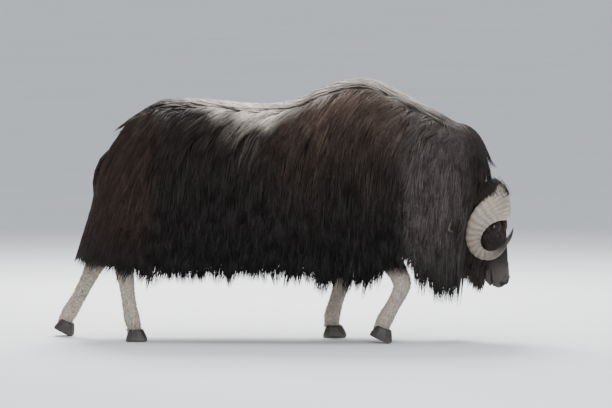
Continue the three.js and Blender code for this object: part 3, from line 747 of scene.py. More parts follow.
def ear_shell(side):
    """A cupped leaf: along its aim the half width swells as a power of a sine, and across it the
    middle sinks by the cup's depth while the wall thins to the edge."""
    flip = np.array([1, side, 1])
    aim = EAR_AIM * flip
    opening = np.array([0.1, side * 0.35, 0.93])
    across = unit(np.cross(aim, opening))
    out = np.cross(across, aim)
    part = np.linspace(0, 1, 30)[:, None]
    swing = np.linspace(-1, 1, 19)[None, :]
    half = 37 * np.sin(np.pi * (0.16 + 0.82 * part)) ** 0.75
    wall = 6 * (1 - 0.55 * part) * (1 - 0.85 * swing**4)
    sink = -24 * np.sin(np.pi * (part * 0.95 + 0.02)) ** 0.8 * (1 - swing**2)
    middle = EAR_ROOT * flip + part[..., None] * aim * (EAR_LENGTH - 4)
    leaf = lambda lift: middle + (half * swing)[..., None] * across + lift[..., None] * out
    return closed_tube(np.concatenate([leaf(sink - wall / 2), leaf(sink + wall / 2)[:, ::-1]], 1))


ear_shells = [ear_shell(side) for side in (RIGHT, LEFT)]
print("ear length", EAR_LENGTH, "mm")

# %% [markdown]
# The hair parts here and there, so a seam between two parts would show. The boolean modifier joins
# all shells into one closed skin and drops what lies inside, which simply laying them together
# wouldn't do.

# %% One skin from all the parts
shells = [trunk_shell, (from_head(head_points), *faces_of(head_mesh)), *leg_shells, tail_shell()]
shells += [(from_head(corners), quads, tris) for corners, quads, tris in ear_shells]
skin_mesh = united([(in_frame(corners), quads, tris) for corners, quads, tris in shells])
skin_points = (corners_of(skin_mesh) - MOVE) * 1000


def on_head(points):
    """A share that is 1 on the head and 0 on the trunk, from the place along and out of the face."""
    a, y, n = to_head(points).T
    return step(-60, 0, a) * step(-170, -130, n) * (points[:, 0] > 850) * (np.abs(y) < 260)


def from_ear(points):
    """Distance of points from the nearer ear's line: the offset from its root less the share along
    its aim, with both sides folded onto one."""
    offset = to_head(points)
    offset = offset * np.where(offset[..., 1:2] < 0, [1, -1, 1], [1, 1, 1]) - EAR_ROOT
    along = np.clip(offset @ EAR_AIM, 0, EAR_LENGTH)
    return np.linalg.norm(offset - along[..., None] * EAR_AIM, axis=-1)


def from_eye(points):
    """Distance of points from the line through both eyes."""
    a, _, n = to_head(points).T
    return np.hypot(a - EYE_PLACE[0], n - EYE_PLACE[2])


def skin_colour(points):
    """The markings, with the legs off-white, the ears grey, the face dark and the muzzle greyer, and
    bare skin that is nearly black round the eyes, on the nostrils and in the mouth."""
    a, y, n = to_head(points).T
    face = on_head(points)
    legs = step(400, 330, points[:, 2]) * step(760, 700, points[:, 0])
    colour = over(over(coat_colour(points), STOCKING, legs), FACE, face)
    colour = over(colour, EAR, step(60, 50, from_ear(points)) * step(118, 140, np.abs(y)))
    colour = over(colour, MUZZLE, face * step(330, 420, a) * 0.8)
    rims = step(30, 23, from_eye(points)) * (np.abs(y) > 70)
    nose = step(440, 452, a + 6 * np.sin(y / 9)) * step(-4, 4, n) * step(66, 58, np.abs(y))
    mouth = np.exp(-((above_mouth(a, n) / 5) ** 2)) * step(372, 392, a)
    return over(colour, BARE_SKIN, np.clip(face * (rims + nose + mouth), 0, 1) * 0.85)


add_colour(skin_mesh, skin_colour(skin_points))
print("skin corners", len(skin_points), "faces", len(skin_mesh.polygons))

# %% [markdown]
# The skin's finish is short hair that lies flat. Its colours are stored on the mesh's corners, so
# that the markings follow the form with no picture, and the material only adds mottling and grain.

# %% Skin finish
skin_paint = Paint("short_hair_and_skin")
grain = skin_paint.noise(900, 2, skin_paint.place((1, 1, 0.25)))
skin_paint.finish(
    Specular_IOR_Level=0.3,
    Base_Color=skin_paint.stored(skin_paint.range(skin_paint.noise(38), 0.72, 1.22)),
    Roughness=skin_paint.range(grain, 0.5, 0.85),
    Normal=skin_paint.bump(grain, 0.5, 0.002),
)
FLESH = ("rump", "barrel", "shoulders", "neck", "tail", "head", "ear_right", "ear_left", *LEGS)
piece("skin", skin_mesh, skin_paint.material, "coat", *FLESH)
print("skin stands for", len(FLESH), "solids")

# %% [markdown]
# ## Hair as thin solid tufts
# Hair curves don't survive the export, so each tuft is a long thin solid with three sides that
# narrows to a point. At this size one tuft stands for a few dozen hairs. All tufts of a piece are
# made together from arrays of paths, and each also gets a small patch on the map for baking at the
# place of its root.

# %% Steps along a tuft, and the finish of the hair
LONG_STEPS = np.array([0, 0.22, 0.5, 0.78, 1.0])
LONG_PROFILE = np.array([0.7, 1.0, 0.95, 0.65, 0.0])
# The fades darken each root as painted shade deep in the hair, and pale each tip as bleached hair.
LONG_ROOT_SHADE_AND_BLEACH = np.array([0.45, 0.75, 1.0, 1.12, 1.3])
SHORT_STEPS = np.array([0, 0.55, 1.0])
SHORT_PROFILE = np.array([0.85, 1.0, 0.0])
SHORT_ROOT_SHADE_AND_BLEACH = np.array([0.7, 1.0, 1.18])
MAP_PATCH = 0.003

hair_paint = Paint("long_hair")
streak = hair_paint.noise(600, 2, hair_paint.place((1, 1, 0.08)))
hair_paint.finish(
    Specular_IOR_Level=0.22,
    Base_Color=hair_paint.stored(hair_paint.range(hair_paint.noise(55), 0.45, 1.55)),
    Roughness=hair_paint.range(streak, 0.42, 0.68),
    Normal=hair_paint.bump(streak, 0.35, 0.002),
)
print("hair finish ready")


# %% Tufts from paths
def shaded(colours, fade, tone):
    """Colours along tufts: each times the fade from a painted shade at the root to a bleached tip,
    and times 1 plus the tuft's tone.
    """
    return np.clip(colours * fade[:, None] * (1 + tone)[:, None, None], 0, 1)


def tufts(name, slot, paths, outs, width, thick, colours, root_uv, profile=LONG_PROFILE):
    """A piece of solid tufts along paths. At each step but the last a triangle stands on the path,
    with one side flat to the coat, and the last step is the point. Widths follow the profile."""
    count, steps = paths.shape[:2]
    run = np.gradient(paths, axis=1)
    across = unit(np.cross(run, outs))
    wide = across * (width[:, None] * profile / 2)[..., None]
    deep = unit(np.cross(across, run)) * (thick[:, None] * profile / 2)[..., None]
    ring = np.stack([paths + wide - deep * 0.5, paths - wide - deep * 0.5, paths + deep], 2)
    corners = np.concatenate([ring[:, :-1].reshape(count, -1, 3), paths[:, -1:]], 1)
    each = corners.shape[1]
    base = (np.arange(count) * each)[:, None, None]
    i, j = np.meshgrid(np.arange(steps - 2), np.arange(3), indexing="ij")
    onward = (j + 1) % 3
    quad = np.stack([i * 3 + j, i * 3 + onward, i * 3 + 3 + onward, i * 3 + 3 + j], -1).reshape(-1, 4)
    top, tip = (steps - 2) * 3, each - 1
    tri = np.array([[top, top + 1, tip], [top + 1, top + 2, tip], [top + 2, top, tip], [2, 1, 0]])
    quads, tris = (base + quad).reshape(-1, 4), (base + tri).reshape(-1, 3)
    mesh = mesh_of(name, in_frame(corners.reshape(-1, 3)), quads, tris)
    at_corners = np.concatenate([np.repeat(colours[:, :-1], 3, 1), colours[:, -1:]], 1)
    add_colour(mesh, at_corners.reshape(-1, 3))
    along = np.r_[np.repeat(np.linspace(0, 1, steps)[:-1], 3), 1]
    around = np.r_[np.tile([0, 1, 0.5], steps - 1), 0.5]
    uv = (root_uv[:, None] + np.stack([around, along], -1) * MAP_PATCH).reshape(-1, 2)
    corner = numbers(mesh.loops, "vertex_index", 1, np.int32)
    layer = mesh.uv_layers.new(name="OFBake")
    layer.uv.foreach_set("vector", uv[corner].astype(np.float32).ravel())
    piece(name, mesh, hair_paint.material, slot)
    print(name, count, "tufts,", 2 * len(quads) + len(tris), "triangles")


# %% [markdown]
# ## The long coat
# A muskox's coat falls in locks, and its lie is plain in the photograph: back along the spine, then
# down over the flanks to the hem. So the locks are laid out first, in rows that overlap like
# shingles, and each lock then gathers its tufts towards its tip.

# %% Lay out the locks
draw = np.random.default_rng(11)
TUFTS_PER_LOCK = 32
LOCK_ROWS = np.arange(0.015, 0.70, 0.043)
LOCK_SPACING = 52
COAT_END = REAR_ARC + RIDGE + FRONT_ARC


def lock_roots():
    """Side, station and down of each lock's root: rows a fixed share apart, and along a row stations
    that are evenly spaced over the tips, with a random shift."""
    found = []
    fine = np.arange(0, COAT_END, 5.0)
    for number, down in enumerate(LOCK_ROWS):
        here = layer_point(TIPS, RIGHT, fine, np.full(len(fine), down + 0.12))
        walked = np.r_[0, np.cumsum(np.linalg.norm(np.diff(here, axis=0), axis=1))]
        for side in (RIGHT, LEFT):
            marks = np.arange(20 + 25 * (number % 2), walked[-1], LOCK_SPACING)
            count = len(marks)
            stations = np.interp(marks + draw.uniform(-16, 16, count), walked, fine)
            downs = down + draw.uniform(-0.016, 0.016, count)
            found.append(np.stack([np.full(count, side), stations, downs], -1))
    return np.concatenate(found)


roots = lock_roots()
past_ridge = roots[:, 1] - REAR_ARC - RIDGE
behind_face = (past_ridge > FRONT_ARC * 0.42) & (roots[:, 2] > 0.30)
roots = roots[~behind_face]
print("locks:", len(roots))


# %% Comb the tufts of every lock
LONG_DEPTH = np.array([98, 38, 17, 8, 4.0])
LOOSENESS = np.array([0, 0.8, 1, 1, 0.8])


def long_coat(roots):
    """Paths of all tufts. A tuft starts beside its lock's middle and closes on it towards the tip,
    while the lock as a whole leans back, more near the ridge, and bends to one side."""
    lock = np.repeat(np.arange(len(roots)), TUFTS_PER_LOCK)
    side, station, down = roots[lock].T
    count = len(lock)
    part = LONG_STEPS
    stretch, trim, broad, swerve = draw.uniform(-1, 1, (len(roots), 4))[lock].T
    x = RUMP_X + np.clip(station - REAR_ARC, 0, RIDGE)
    on_saddle = step(-480, -330, x) * step(190, 40, x) * step(0.2, 0.1, down)
    span = 0.25 + 0.12 * step(0.1, 0.4, down) - 0.05 * on_saddle
    span = span * (1 + 0.16 * stretch) * (1 + draw.uniform(-0.12, 0.12, count))
    hem = 1.0 + 0.035 * trim + draw.uniform(-0.05, 0.02, count)
    tip = np.minimum(down + span, hem)
    tip = np.where(down > 0.55, hem - 0.5 * np.clip(0.66 - down, 0, 1), tip)
    beside = draw.uniform(-1, 1, count)
    spread = (beside * (46 * (1 + 0.2 * broad)))[:, None] * (1 - 0.72 * part**1.5)
    along_ridge = step(0, 420, station) * step(REAR_ARC + RIDGE + 60, REAR_ARC + RIDGE - 240, station)
    lean = (0.62 * step(0.34, 0.0, down) * along_ridge + 0.07) * (tip - down) * 1150
    bend = (24 * swerve + draw.uniform(-7, 7, count))[:, None] * np.sin(np.pi * part)
    sway = draw.uniform(2, 7, count)[:, None]
    wave = sway * np.sin(2 * np.pi * (part * 1.3 + draw.uniform(0, 1, count)[:, None]))
    stations = station[:, None] - lean[:, None] * part + spread + bend + wave
    stagger = draw.uniform(-0.022, 0.022, count)[:, None] * (1 - part)
    downs = down[:, None] + (tip - down)[:, None] * part + stagger
    crown = 7 * (beside**2)[:, None] * (1 - 0.4 * part)
    loose = draw.uniform(0, 1, count)[:, None] ** 2 * 15
    stations, downs = np.clip(stations, 2, COAT_END - 2), np.clip(downs, 0.004, 1.06)
    paths, outs = coat_point(side[:, None], stations, downs, LONG_DEPTH + crown + loose * LOOSENESS)
    return lock, side, station, down, paths, outs


lock, side, station, down, paths, outs = long_coat(roots)
tone = 0.26 * draw.uniform(-1, 1, len(lock)) + 0.16 * draw.uniform(-1, 1, len(roots))[lock]
print("long tufts:", len(paths))

# %% [markdown]
# Tufts that would cross the face, the horns' curve or an eye are left out, as the hair there is
# parted by them on the real animal. Round the ears they are pushed aside.

# %% Keep the face clear
PARTING = 56


def clear_of_face(paths):
    """True for tufts that past their root have no step inside the head's oval, or in front of it
    near an eye."""
    a, y, n = to_head(paths[:, 1:].reshape(-1, 3)).T
    level, half, depth = (np.interp(a, SKULL_ROWS[:, 0], SKULL_ROWS[:, k]) for k in (1, 2, 3))
    ratio = (y / half) ** 2 + ((n - level) / depth) ** 2
    inside = (a > -20) & (a < 490) & (ratio < 1.0)
    in_front = (a > 40) & (n > -25) & (np.abs(y) < 190)
    return ~(inside | in_front).reshape(len(paths), -1).any(1)


def parted_by_ears(paths):
    """Paths pushed out of the ears' way: a step nearer to an ear's line than the parting moves
    straight away from it to the parting, and roots stay."""
    made = paths.copy()
    for way in (RIGHT, LEFT):
        flip = np.array([1, way, 1])
        aim = (EAR_AIM * flip) @ HEAD_AXES
        offset = made - from_head(EAR_ROOT * flip)
        beside = offset - np.clip(offset @ aim, 20, EAR_LENGTH + 30)[..., None] * aim
        gap = np.linalg.norm(beside, axis=-1, keepdims=True)
        push = np.clip(PARTING - gap, 0, None)
        push[:, 0] = 0
        made += beside / gap * push
    return made


paths = parted_by_ears(paths)
kept = clear_of_face(paths)
side, station, down, paths, outs, tone = (
    values[kept] for values in (side, station, down, paths, outs, tone)
)
print("tufts kept:", len(paths))

# %% [markdown]
# Each tuft is darker at its root, as painted shade deep in the coat, and paler at its tip, where hair
# bleaches. No two locks are quite alike, so each tuft has a tone of its own. The coat is made in four
# regions on each side, because one mesh of all its tufts would be too heavy for the export.

# %% Colour the tufts and make the pieces
REGIONS = {"rump": (-1e4, -420), "barrel": (-420, 80), "shoulders": (80, 560), "neck": (560, 1e4)}


def tuft_colours(paths, tone):
    """Each step's colour is the marking at the root, pulled towards the marking where the step lies,
    and shaded with the tuft's tone."""
    at_root = coat_colour(paths[:, :1])
    return shaded(at_root + (coat_colour(paths) - at_root) * 0.72, LONG_ROOT_SHADE_AND_BLEACH, tone)


colours = tuft_colours(paths, tone)
unwrap = np.stack([
    np.where(side < 0, 0.01, 0.51) + station / COAT_END * 0.47, 0.02 + np.clip(down, 0, 1) * 0.95,
], -1)
widths = draw.uniform(3.6, 7.0, len(paths))
root_x = layer_point(TIPS, side, station, down)[:, 0]
for region, (start, stop) in REGIONS.items():
    slot = "saddle" if region == "barrel" else "coat"
    for word, way in SIDES:
        mine = (root_x >= start) & (root_x < stop) & (side == way)
        tufts(
            "coat_%s_%s" % (region, word), slot, paths[mine], outs[mine], widths[mine],
            widths[mine] * 0.6, colours[mine], unwrap[mine],
        )

# %% [markdown]
# The locks start a little to either side of the ridge. Tufts of its own lie back along the spine and
# cover the parting.


# %% Hair along the ridge of the back
RIDGE_TUFTS = 2600
RIDGE_DEPTH = np.array([88, 30, 14, 7, 3.0])


def ridge_hair(count):
    """Tufts that lie back along the spine: a start along the ridge, a small offset to one side, and
    the back line less an inset at each step, falling away past both ends of the ridge."""
    part = LONG_STEPS
    start = draw.uniform(RUMP_X - 60, BROW_X + 90, count)
    offset = draw.normal(0, 34, count)
    length = draw.uniform(130, 230, count) * (1 - 0.35 * step(-470, -300, start) * step(160, 0, start))
    x = start[:, None] - length[:, None] * part
    y = offset[:, None] * (1 + 0.5 * part) + draw.normal(0, 9, (count, 1)) * part
    fall = 0.15625 * np.clip(RUMP_X - x, 0, None) ** 1.25 + 0.62 * np.clip(x - BROW_X, 0, None)
    inset = RIDGE_DEPTH + draw.uniform(0, 9, (count, 1))
    paths = np.stack([x, y, read(BACK_LINE, x) - inset - y**2 / 520 - fall], -1)
    return paths, np.broadcast_to([0.0, 0.0, 1.0], paths.shape), start, offset


ridge_paths, ridge_outs, start, offset = ridge_hair(RIDGE_TUFTS)
ridge_tone = 0.3 * draw.uniform(-1, 1, RIDGE_TUFTS)
tufts(
    "coat_ridge", "coat", ridge_paths, ridge_outs, draw.uniform(4, 6.5, RIDGE_TUFTS),
    draw.uniform(2.5, 4, RIDGE_TUFTS), tuft_colours(ridge_paths, ridge_tone),
    np.stack([0.01 + (start - start.min()) / np.ptp(start) * 0.97, 0.5 + offset / 300], -1),
)

# %% [markdown]
# In front the ridge ends over the brow, where the hair turns and falls forward to the horns. It fans
# out from the ridge, and its height at any place seen from above is the height of the tips there.

# %% Hair that falls over the brow
BROW_TUFTS = 1300
BROW_DEPTH = np.array([60, 14, 4, 0, -3.0])


def top_height(x, y):
    """Height of the tips at a place seen from above: the share of the way out to the widest level
    gives the drop from the ridge as a circle would."""
    ahead = np.clip(x - BROW_X, 0, None) / TIPS["front"]
    aside = y / (read(HALF_WIDTH, x) - TIPS["side"])
    share = np.clip(np.hypot(ahead, aside), 0, 0.97)
    widest = read(WIDEST_LEVEL, x)
    return widest + (read(BACK_LINE, x) - TIPS["crest"] - widest) * np.sqrt(1 - share**2)


def brow_hair(count):
    """Tufts that start on the last of the ridge and run forward at an angle of up to 80 degrees to
    either side, on the tips' surface less an inset."""
    part = LONG_STEPS
    heading = draw.uniform(-1.4, 1.4, count)
    length = draw.uniform(120, 190, count)
    x0 = draw.uniform(790, 905, count)
    y0 = draw.normal(0, 26, count)
    x = x0[:, None] + (length * np.cos(heading))[:, None] * part
    y = y0[:, None] + (length * np.sin(heading))[:, None] * part + draw.normal(0, 6, (count, 1)) * part
    inset = BROW_DEPTH + draw.uniform(0, 9, (count, 1))
    paths = np.stack([x, y, top_height(x, y) - inset], -1)
    return paths, np.broadcast_to([0.35, 0.0, 0.94], paths.shape), heading


brow_paths, brow_outs, heading = brow_hair(BROW_TUFTS)
tufts(
    "coat_brow", "coat", brow_paths, brow_outs, draw.uniform(3.4, 5.6, BROW_TUFTS),
    np.full(BROW_TUFTS, 2.8), tuft_colours(brow_paths, 0.3 * draw.uniform(-1, 1, BROW_TUFTS)),
    np.stack([0.5 + heading * 0.3, 0.02 + brow_paths[:, 0, 0] / 1000], -1),
)

# %% [markdown]
# ## Hair of the head
# The cheeks and the jaw carry long hair that hangs into the throat mane, and a short forelock falls
# from between the horns. Tufts start round a few marks on the head, and gather towards their tips. A
# mark is a row of thirteen numbers: its place, the aim of its hair, the hair's length, the way it
# bows, and the spread of its roots.

# %% Marks on the head
CHEEK_ROWS = [
    (12, (180, 62, -80), (185, -30, 34), (0.86, 0.1, -0.5), 215, -85, (0, 10, -6), (13, 9, 9)),
    (9, (95, 100, -70), (165, -28, 20), (0.9, 0.13, -0.42), 185, -45, (0, 14, 0.5), (14, 6, 16)),
    (6, (30, 96, -104), (70, 0, 14), (0.72, 0.42, -0.5), 170, 0, (0, 16, -2), (16, 8, 14)),
]


def mark_row(side, count, first, travel, aim, length, change, bow, spread):
    """Marks along a line: the first plus an even share of the travel and of the length's change,
    with what points to the left turned to the side."""
    start = np.array([*first, *aim, length, *bow, *spread])
    shift = np.array([*travel, 0, 0, 0, change, 0, 0, 0, 0, 0, 0])
    rows = start + np.linspace(0, 1, count)[:, None] * shift
    rows[:, [1, 4, 8]] *= side
    return rows


cheek_marks = np.concatenate([mark_row(side, *row) for side in (RIGHT, LEFT) for row in CHEEK_ROWS])
poll_marks = np.array([
    (-38, 118 * s, -12 + 98 * c, 0.62, 0.34 * s, 0.34 * c + 0.1, 112, 4, 12 * s, 12 * c, 16, 12, 12)
    for s, c in ((math.sin(turn), math.cos(turn)) for turn in np.linspace(-1.9, 1.9, 31))
])
forelock_marks = np.array([
    (122, across, 80, 0.96, across * 0.004, 0.1, 74, 0, 0, 7, 9, 6, 5)
    for across in np.linspace(-46, 46, 9)
])
print("marks:", len(cheek_marks), len(poll_marks), len(forelock_marks))


# %% Cheeks, beard and forelock
def hanging(marks, per_mark):
    """Paths in the head's frame: from a mark plus a spread, along the aim for the length, bowed by
    the bow times the sine of half a turn, with the spread shrinking to the tip."""
    rows = np.repeat(marks, per_mark, 0)[:, None]
    place, aim, length, bow, spread = np.split(rows, [3, 6, 7, 10], -1)
    count = len(rows)
    part = LONG_STEPS[:, None]
    start = draw.normal(0, 1, (count, 1, 3)) * spread
    reach = length * (1 + draw.uniform(-0.3, 0.12, (count, 1, 1)))
    way = aim + draw.normal(0, 0.045, (count, 1, 3))
    paths = place + start * (1 - 0.62 * part) + way * reach * part + bow * np.sin(np.pi * part)
    return paths, np.broadcast_to(unit(bow), paths.shape)


def head_tufts(name, marks, per_mark, wide, base):
    """Tufts that hang from marks, in shades of one colour."""
    paths, outs = hanging(marks, per_mark)
    count = len(paths)
    shades = shaded(np.array(base), LONG_ROOT_SHADE_AND_BLEACH, draw.uniform(-0.28, 0.28, count))
    a, y, _ = paths[:, 0].T
    uv = np.clip(np.stack([0.02 + np.clip(a, -60, 490) / 490 * 0.9, 0.5 + y / 320], -1), 0.005, 0.99)
    tufts(
        name, "face", from_head(paths), outs @ HEAD_AXES, draw.uniform(*wide, count),
        np.full(count, wide[0] * 0.7), shades, uv,
    )


head_tufts("cheek_and_beard_hair", cheek_marks, 52, (2.8, 4.6), (0.026, 0.0195, 0.0165))
head_tufts("poll_hair", poll_marks, 66, (1.8, 3.0), (0.030, 0.0225, 0.0185))
head_tufts("forelock", forelock_marks, 66, (2.1, 3.3), (0.040, 0.030, 0.0245))

# %% [markdown]
# ## Short hair
# On the legs, the face and the ears the hair is short and lies flat. Its tufts are scattered over
# the skin's own faces, by area, and each lies along the skin in the way the hair does there.

# %% Scatter short tufts over the skin
face_middle = (numbers(skin_mesh.polygons, "center") - MOVE) * 1000
face_normal = numbers(skin_mesh.polygons, "normal").astype(float)
face_area = numbers(skin_mesh.polygons, "area", 1).astype(float) * 1e6


def flattened(vectors, normals):
    """The part of each vector that lies along the skin: the vector less its share on the normal."""
    return vectors - normals * np.einsum("ij,ij->i", vectors, normals)[:, None]


def short_hair(name, slot, count, chance, lie, length, width, lift, unwrap_of):
    """Tufts on faces drawn by area times a chance. A tuft runs from just under the skin along the
    lie, laid flat on the skin, and rises by the lift."""
    weight = face_area * chance
    chosen = draw.choice(len(weight), count, p=weight / weight.sum())
    normal = face_normal[chosen]
    shift = draw.normal(0, 1, (count, 3)) * np.sqrt(face_area[chosen])[:, None] * 0.4
    spot = face_middle[chosen] + flattened(shift, normal)
    way = unit(flattened(lie[chosen] + draw.normal(0, 0.16, (count, 3)), normal))
    reach = (length[chosen] * draw.uniform(0.7, 1.2, count))[:, None, None]
    part = SHORT_STEPS[:, None]
    rise = lift * reach * part - 2.0 * (1 - part)
    paths = spot[:, None] + way[:, None] * reach * part + normal[:, None] * rise
    outs = np.broadcast_to(normal[:, None], paths.shape)
    shades = shaded(skin_colour(spot)[:, None], SHORT_ROOT_SHADE_AND_BLEACH, draw.uniform(-0.16, 0.18, count))
    tufts(
        name, slot, paths, outs, draw.uniform(0.8, 1.25, count) * width, np.full(count, width * 0.6),
        shades, unwrap_of(spot), SHORT_PROFILE,
    )


print("skin:", round(face_area.sum() / 1e6, 2), "square metres")


# %% Legs, face and ears
def leg_unwrap(points):
    """Each leg is a strip of the map: height up it, and the turn round its middle across it."""
    front = points[:, 0] > 0
    left = points[:, 1] > 0
    strip = front * 0.5 + left * 0.25
    lean = np.interp(points[:, 2], [0, 450], [0, 1])
    turn = np.arctan2(np.abs(points[:, 1]) - 172, np.sin(points[:, 0] / 40)) / (2 * np.pi) + 0.5
    return np.stack([strip + 0.01 + turn * 0.22, 0.02 + lean * 0.95], -1)


def head_unwrap(points):
    """Along the face up the map, and the turn round it across the map."""
    a, y, n = to_head(points).T
    turn = np.arctan2(y, n + 12) / (2 * np.pi) + 0.5
    return np.clip(np.stack([0.01 + turn * 0.97, 0.02 + (a + 180) / 670 * 0.95], -1), 0.002, 0.994)


x, y, z = face_middle.T
on_legs = (z > 60) & (z < 470) & (x < 800)
leg_length = 15 + 10 * step(120, 60, z) + 8 * step(300, 420, z)
downwards = np.broadcast_to([0.0, 0.0, -1.0], face_middle.shape)
short_hair("leg_hair", "stocking", 15500, on_legs, downwards, leg_length, 3.0, 0.30, leg_unwrap)

a, y, n = to_head(face_middle).T
eye_gap = from_eye(face_middle)
bare = (a > 450) & (n > 2) & (np.abs(y) < 62)
bare |= (a > 380) & (np.abs(above_mouth(a, n)) < 4)
bare |= eye_gap <= 24 * (np.abs(y) > 60)
on_ear = (from_ear(face_middle) < 48) & (np.abs(y) > 122)
face_lie = np.broadcast_to(np.array([-0.75, 0.0, -0.6]) @ HEAD_AXES, face_middle.shape).copy()
face_lie[on_ear] = (EAR_AIM @ HEAD_AXES) * np.where(y[on_ear, None] < 0, [1, -1, 1], [1, 1, 1])
face_length = np.where(on_ear, 15, 17 - 9 * step(260, 440, a) - 6 * step(60, 28, eye_gap))
on_face = ((on_head(face_middle) > 0.3) | on_ear) & (a > -20) & ~bare
short_hair("face_hair", "face", 16000, on_face, face_lie, face_length, 2.1, 0.16, head_unwrap)

# %% [markdown]
# The tail is a short brush, hidden by the rump's hair on most days. Its tufts start all round the
# tail's line and run down it.

# %% Tail brush
TAIL_TUFTS = 1300
BRUSH = np.array([0.35, 0.85, 1.0, 1.05, 1.1])


def tail_brush(count):
    """Tufts from the tail's own line: they start across it, run down it and spread a little."""
    line = np.array(TAIL_LINE, float)
    at = draw.uniform(0.3, 3.7, count)
    turn = draw.uniform(0, 2 * np.pi, (count, 1))
    reach = at[:, None] + 2.2 * LONG_STEPS
    x, z, half, thick = (np.interp(reach, np.arange(len(line)), column) for column in line.T)
    swell = BRUSH * draw.uniform(0.9, 1.12, (count, 1))
    past = np.clip(reach - 5, 0, None)
    y = np.cos(turn) * half * swell * (1 + 0.5 * past) + draw.normal(0, 3, (count, 1)) * LONG_STEPS
    off = np.sin(turn) * thick * swell
    paths = np.stack([x + TAIL_BACK[0] * off, y, z + TAIL_BACK[2] * off - 50 * past], -1)
    outs = np.cos(turn)[..., None] * ACROSS + np.sin(turn)[..., None] * TAIL_BACK
    return paths, np.broadcast_to(outs, paths.shape), at, turn[:, 0]


tail_paths, tail_outs, at, turn = tail_brush(TAIL_TUFTS)
# The brush's tufts all get a darker tone: painted shade, as for a brush hidden under the rump's hair.
tufts(
    "tail_hair", "coat", tail_paths, tail_outs, draw.uniform(3.2, 5.4, TAIL_TUFTS),
    np.full(TAIL_TUFTS, 3.0), tuft_colours(tail_paths, draw.uniform(-0.5, -0.05, TAIL_TUFTS)),
    np.stack([0.02 + turn / (2 * np.pi) * 0.95, 0.02 + at / 3.7 * 0.95], -1),
)

# %% [markdown]
# ## Horns
# The horns meet in a broad boss on the brow, drop close beside the cheeks and turn up to dark points.
# The boss is coarse and fibrous, and the curve below is smoother, with shallow growth rings. A ring
# carried along a curved line gives this form, and small waves along and round it give the grain.

# %% Horn surfaces
HORN_LINE = [
    (58, 4, 100, 192, 70), (60, 50, 100, 186, 72), (66, 96, 82, 166, 72), (80, 134, 44, 138, 68),
    (106, 155, -6, 114, 62), (146, 167, -48, 98, 56), (196, 178, -72, 84, 50),
    (244, 194, -72, 70, 45), (282, 216, -48, 58, 40), (300, 242, -5, 47, 36),
    (290, 268, 42, 36, 30), (262, 288, 80, 24, 22), (232, 299, 102, 12, 12), (214, 303, 110, 3, 3),
]
BOSS = np.array([0.31, 0.268, 0.215])
HORN_SIDE = np.array([0.185, 0.150, 0.118])
HORN_TIP = np.array([0.012, 0.010, 0.009])


def horn_surface(side):
    """A ring carried along the horn's line: its broad axis is square to the line and to the way out
    of the head. Fibres on the boss are waves round the ring, and growth rings are waves along it.
    Their grooves are coloured darker as painted shade, and their crests paler as painted light."""
    rows = refined(HORN_LINE, 150)
    places = rows[:, :3] * [1, side, 1]
    run = np.gradient(places, axis=0)
    run[0] = (0, side, 0)
    run = unit(run)
    outward = places * [0, 1, 1] + [0, 0, 20]
    outward[0] = (0, 0, 1)
    broad = unit(np.cross(run, outward))
    through = np.cross(broad, run)
    turn = np.linspace(0, 2 * np.pi, 96, endpoint=False)
    along = np.linspace(0, 1, 150)[:, None]
    boss = step(0.42, 0.12, along)
    fibre = (np.sin(23 * turn + 9 * along) + 0.6 * np.sin(35 * turn - 24 * along + 1)) * 1.3 * boss
    lumps = np.sin(7 * turn + 3) * np.sin(38 * along + 2 * np.sin(4 * turn)) * 1.3 * boss
    ringed = step(0.15, 0.3, along) * step(0.85, 0.6, along)
    growth = np.sin(along * 150 + 0.6 * np.sin(3 * turn)) * 0.8 * ringed
    relief = (fibre + lumps + growth) * np.clip(rows[:, 4:5] / 40, 0, 1)
    wide = signed_power(np.cos(turn), 0.92) * (rows[:, 3:4] / 2 - 1 + relief)
    deep = signed_power(np.sin(turn), 0.92) * (rows[:, 4:5] / 2 - 1 + relief)
    rings = places[:, None] + wide[..., None] * broad[:, None] + deep[..., None] * through[:, None]
    shade = over(np.broadcast_to(BOSS, rings.shape), HORN_SIDE, step(0.18, 0.5, along))
    # Darker in the grooves of the fibres and growth rings and paler on their crests: painted shade and
    # painted light.
    shade = over(shade, HORN_TIP, step(0.68, 0.86, along)) * (1 + 0.3 * (fibre / 2 + growth))[..., None]
    return closed_tube(rings), np.clip(shade, 0, 1).reshape(-1, 3)


def on_both_sides(name, node, slot, surface, paint, ends):
    """The right and the left one of a closed surface of the head, each in place of its own solid,
    with the colours of its rings and of its two ends stored on its corners."""
    for word, way in SIDES:
        (corners, quads, tris), colours = surface(way)
        mesh = mesh_of(name % word, in_frame(from_head(corners)), quads, tris)
        add_colour(mesh, np.concatenate([colours, ends]))
        piece(name % word, mesh, paint.material, slot, node % word)
        print(name % word, "corners:", len(corners))


horn_paint = Paint("horn")
fibres = horn_paint.noise(150, 4, horn_paint.place((1.0, 0.16, 1.0)))
wear = horn_paint.noise(14, 3)
horn_paint.finish(
    Base_Color=horn_paint.stored(horn_paint.range(fibres * 0.65 + wear * 0.35, -0.1, 2.0)),
    Roughness=horn_paint.range(fibres, 0.36, 0.62),
    Normal=horn_paint.bump(fibres, 0.8, 0.006),
)
on_both_sides("horn_%s_shape", "horn_%s", "horn", horn_surface, horn_paint, [BOSS, HORN_TIP])

# %% [markdown]
# ## Eyes
# The eye is large, dark brown and wet, with a pupil that lies level. A ball with a raised cornea
# carries both, and a clear coat gives the single bright spark.

# %% Eye surfaces
EYE_WHITE = np.array([0.060, 0.045, 0.038])
IRIS = np.array([0.026, 0.0115, 0.006])
PUPIL = np.array([0.003, 0.003, 0.004])
EYE_REAR = np.array([0.05, 0.03, 0.03])


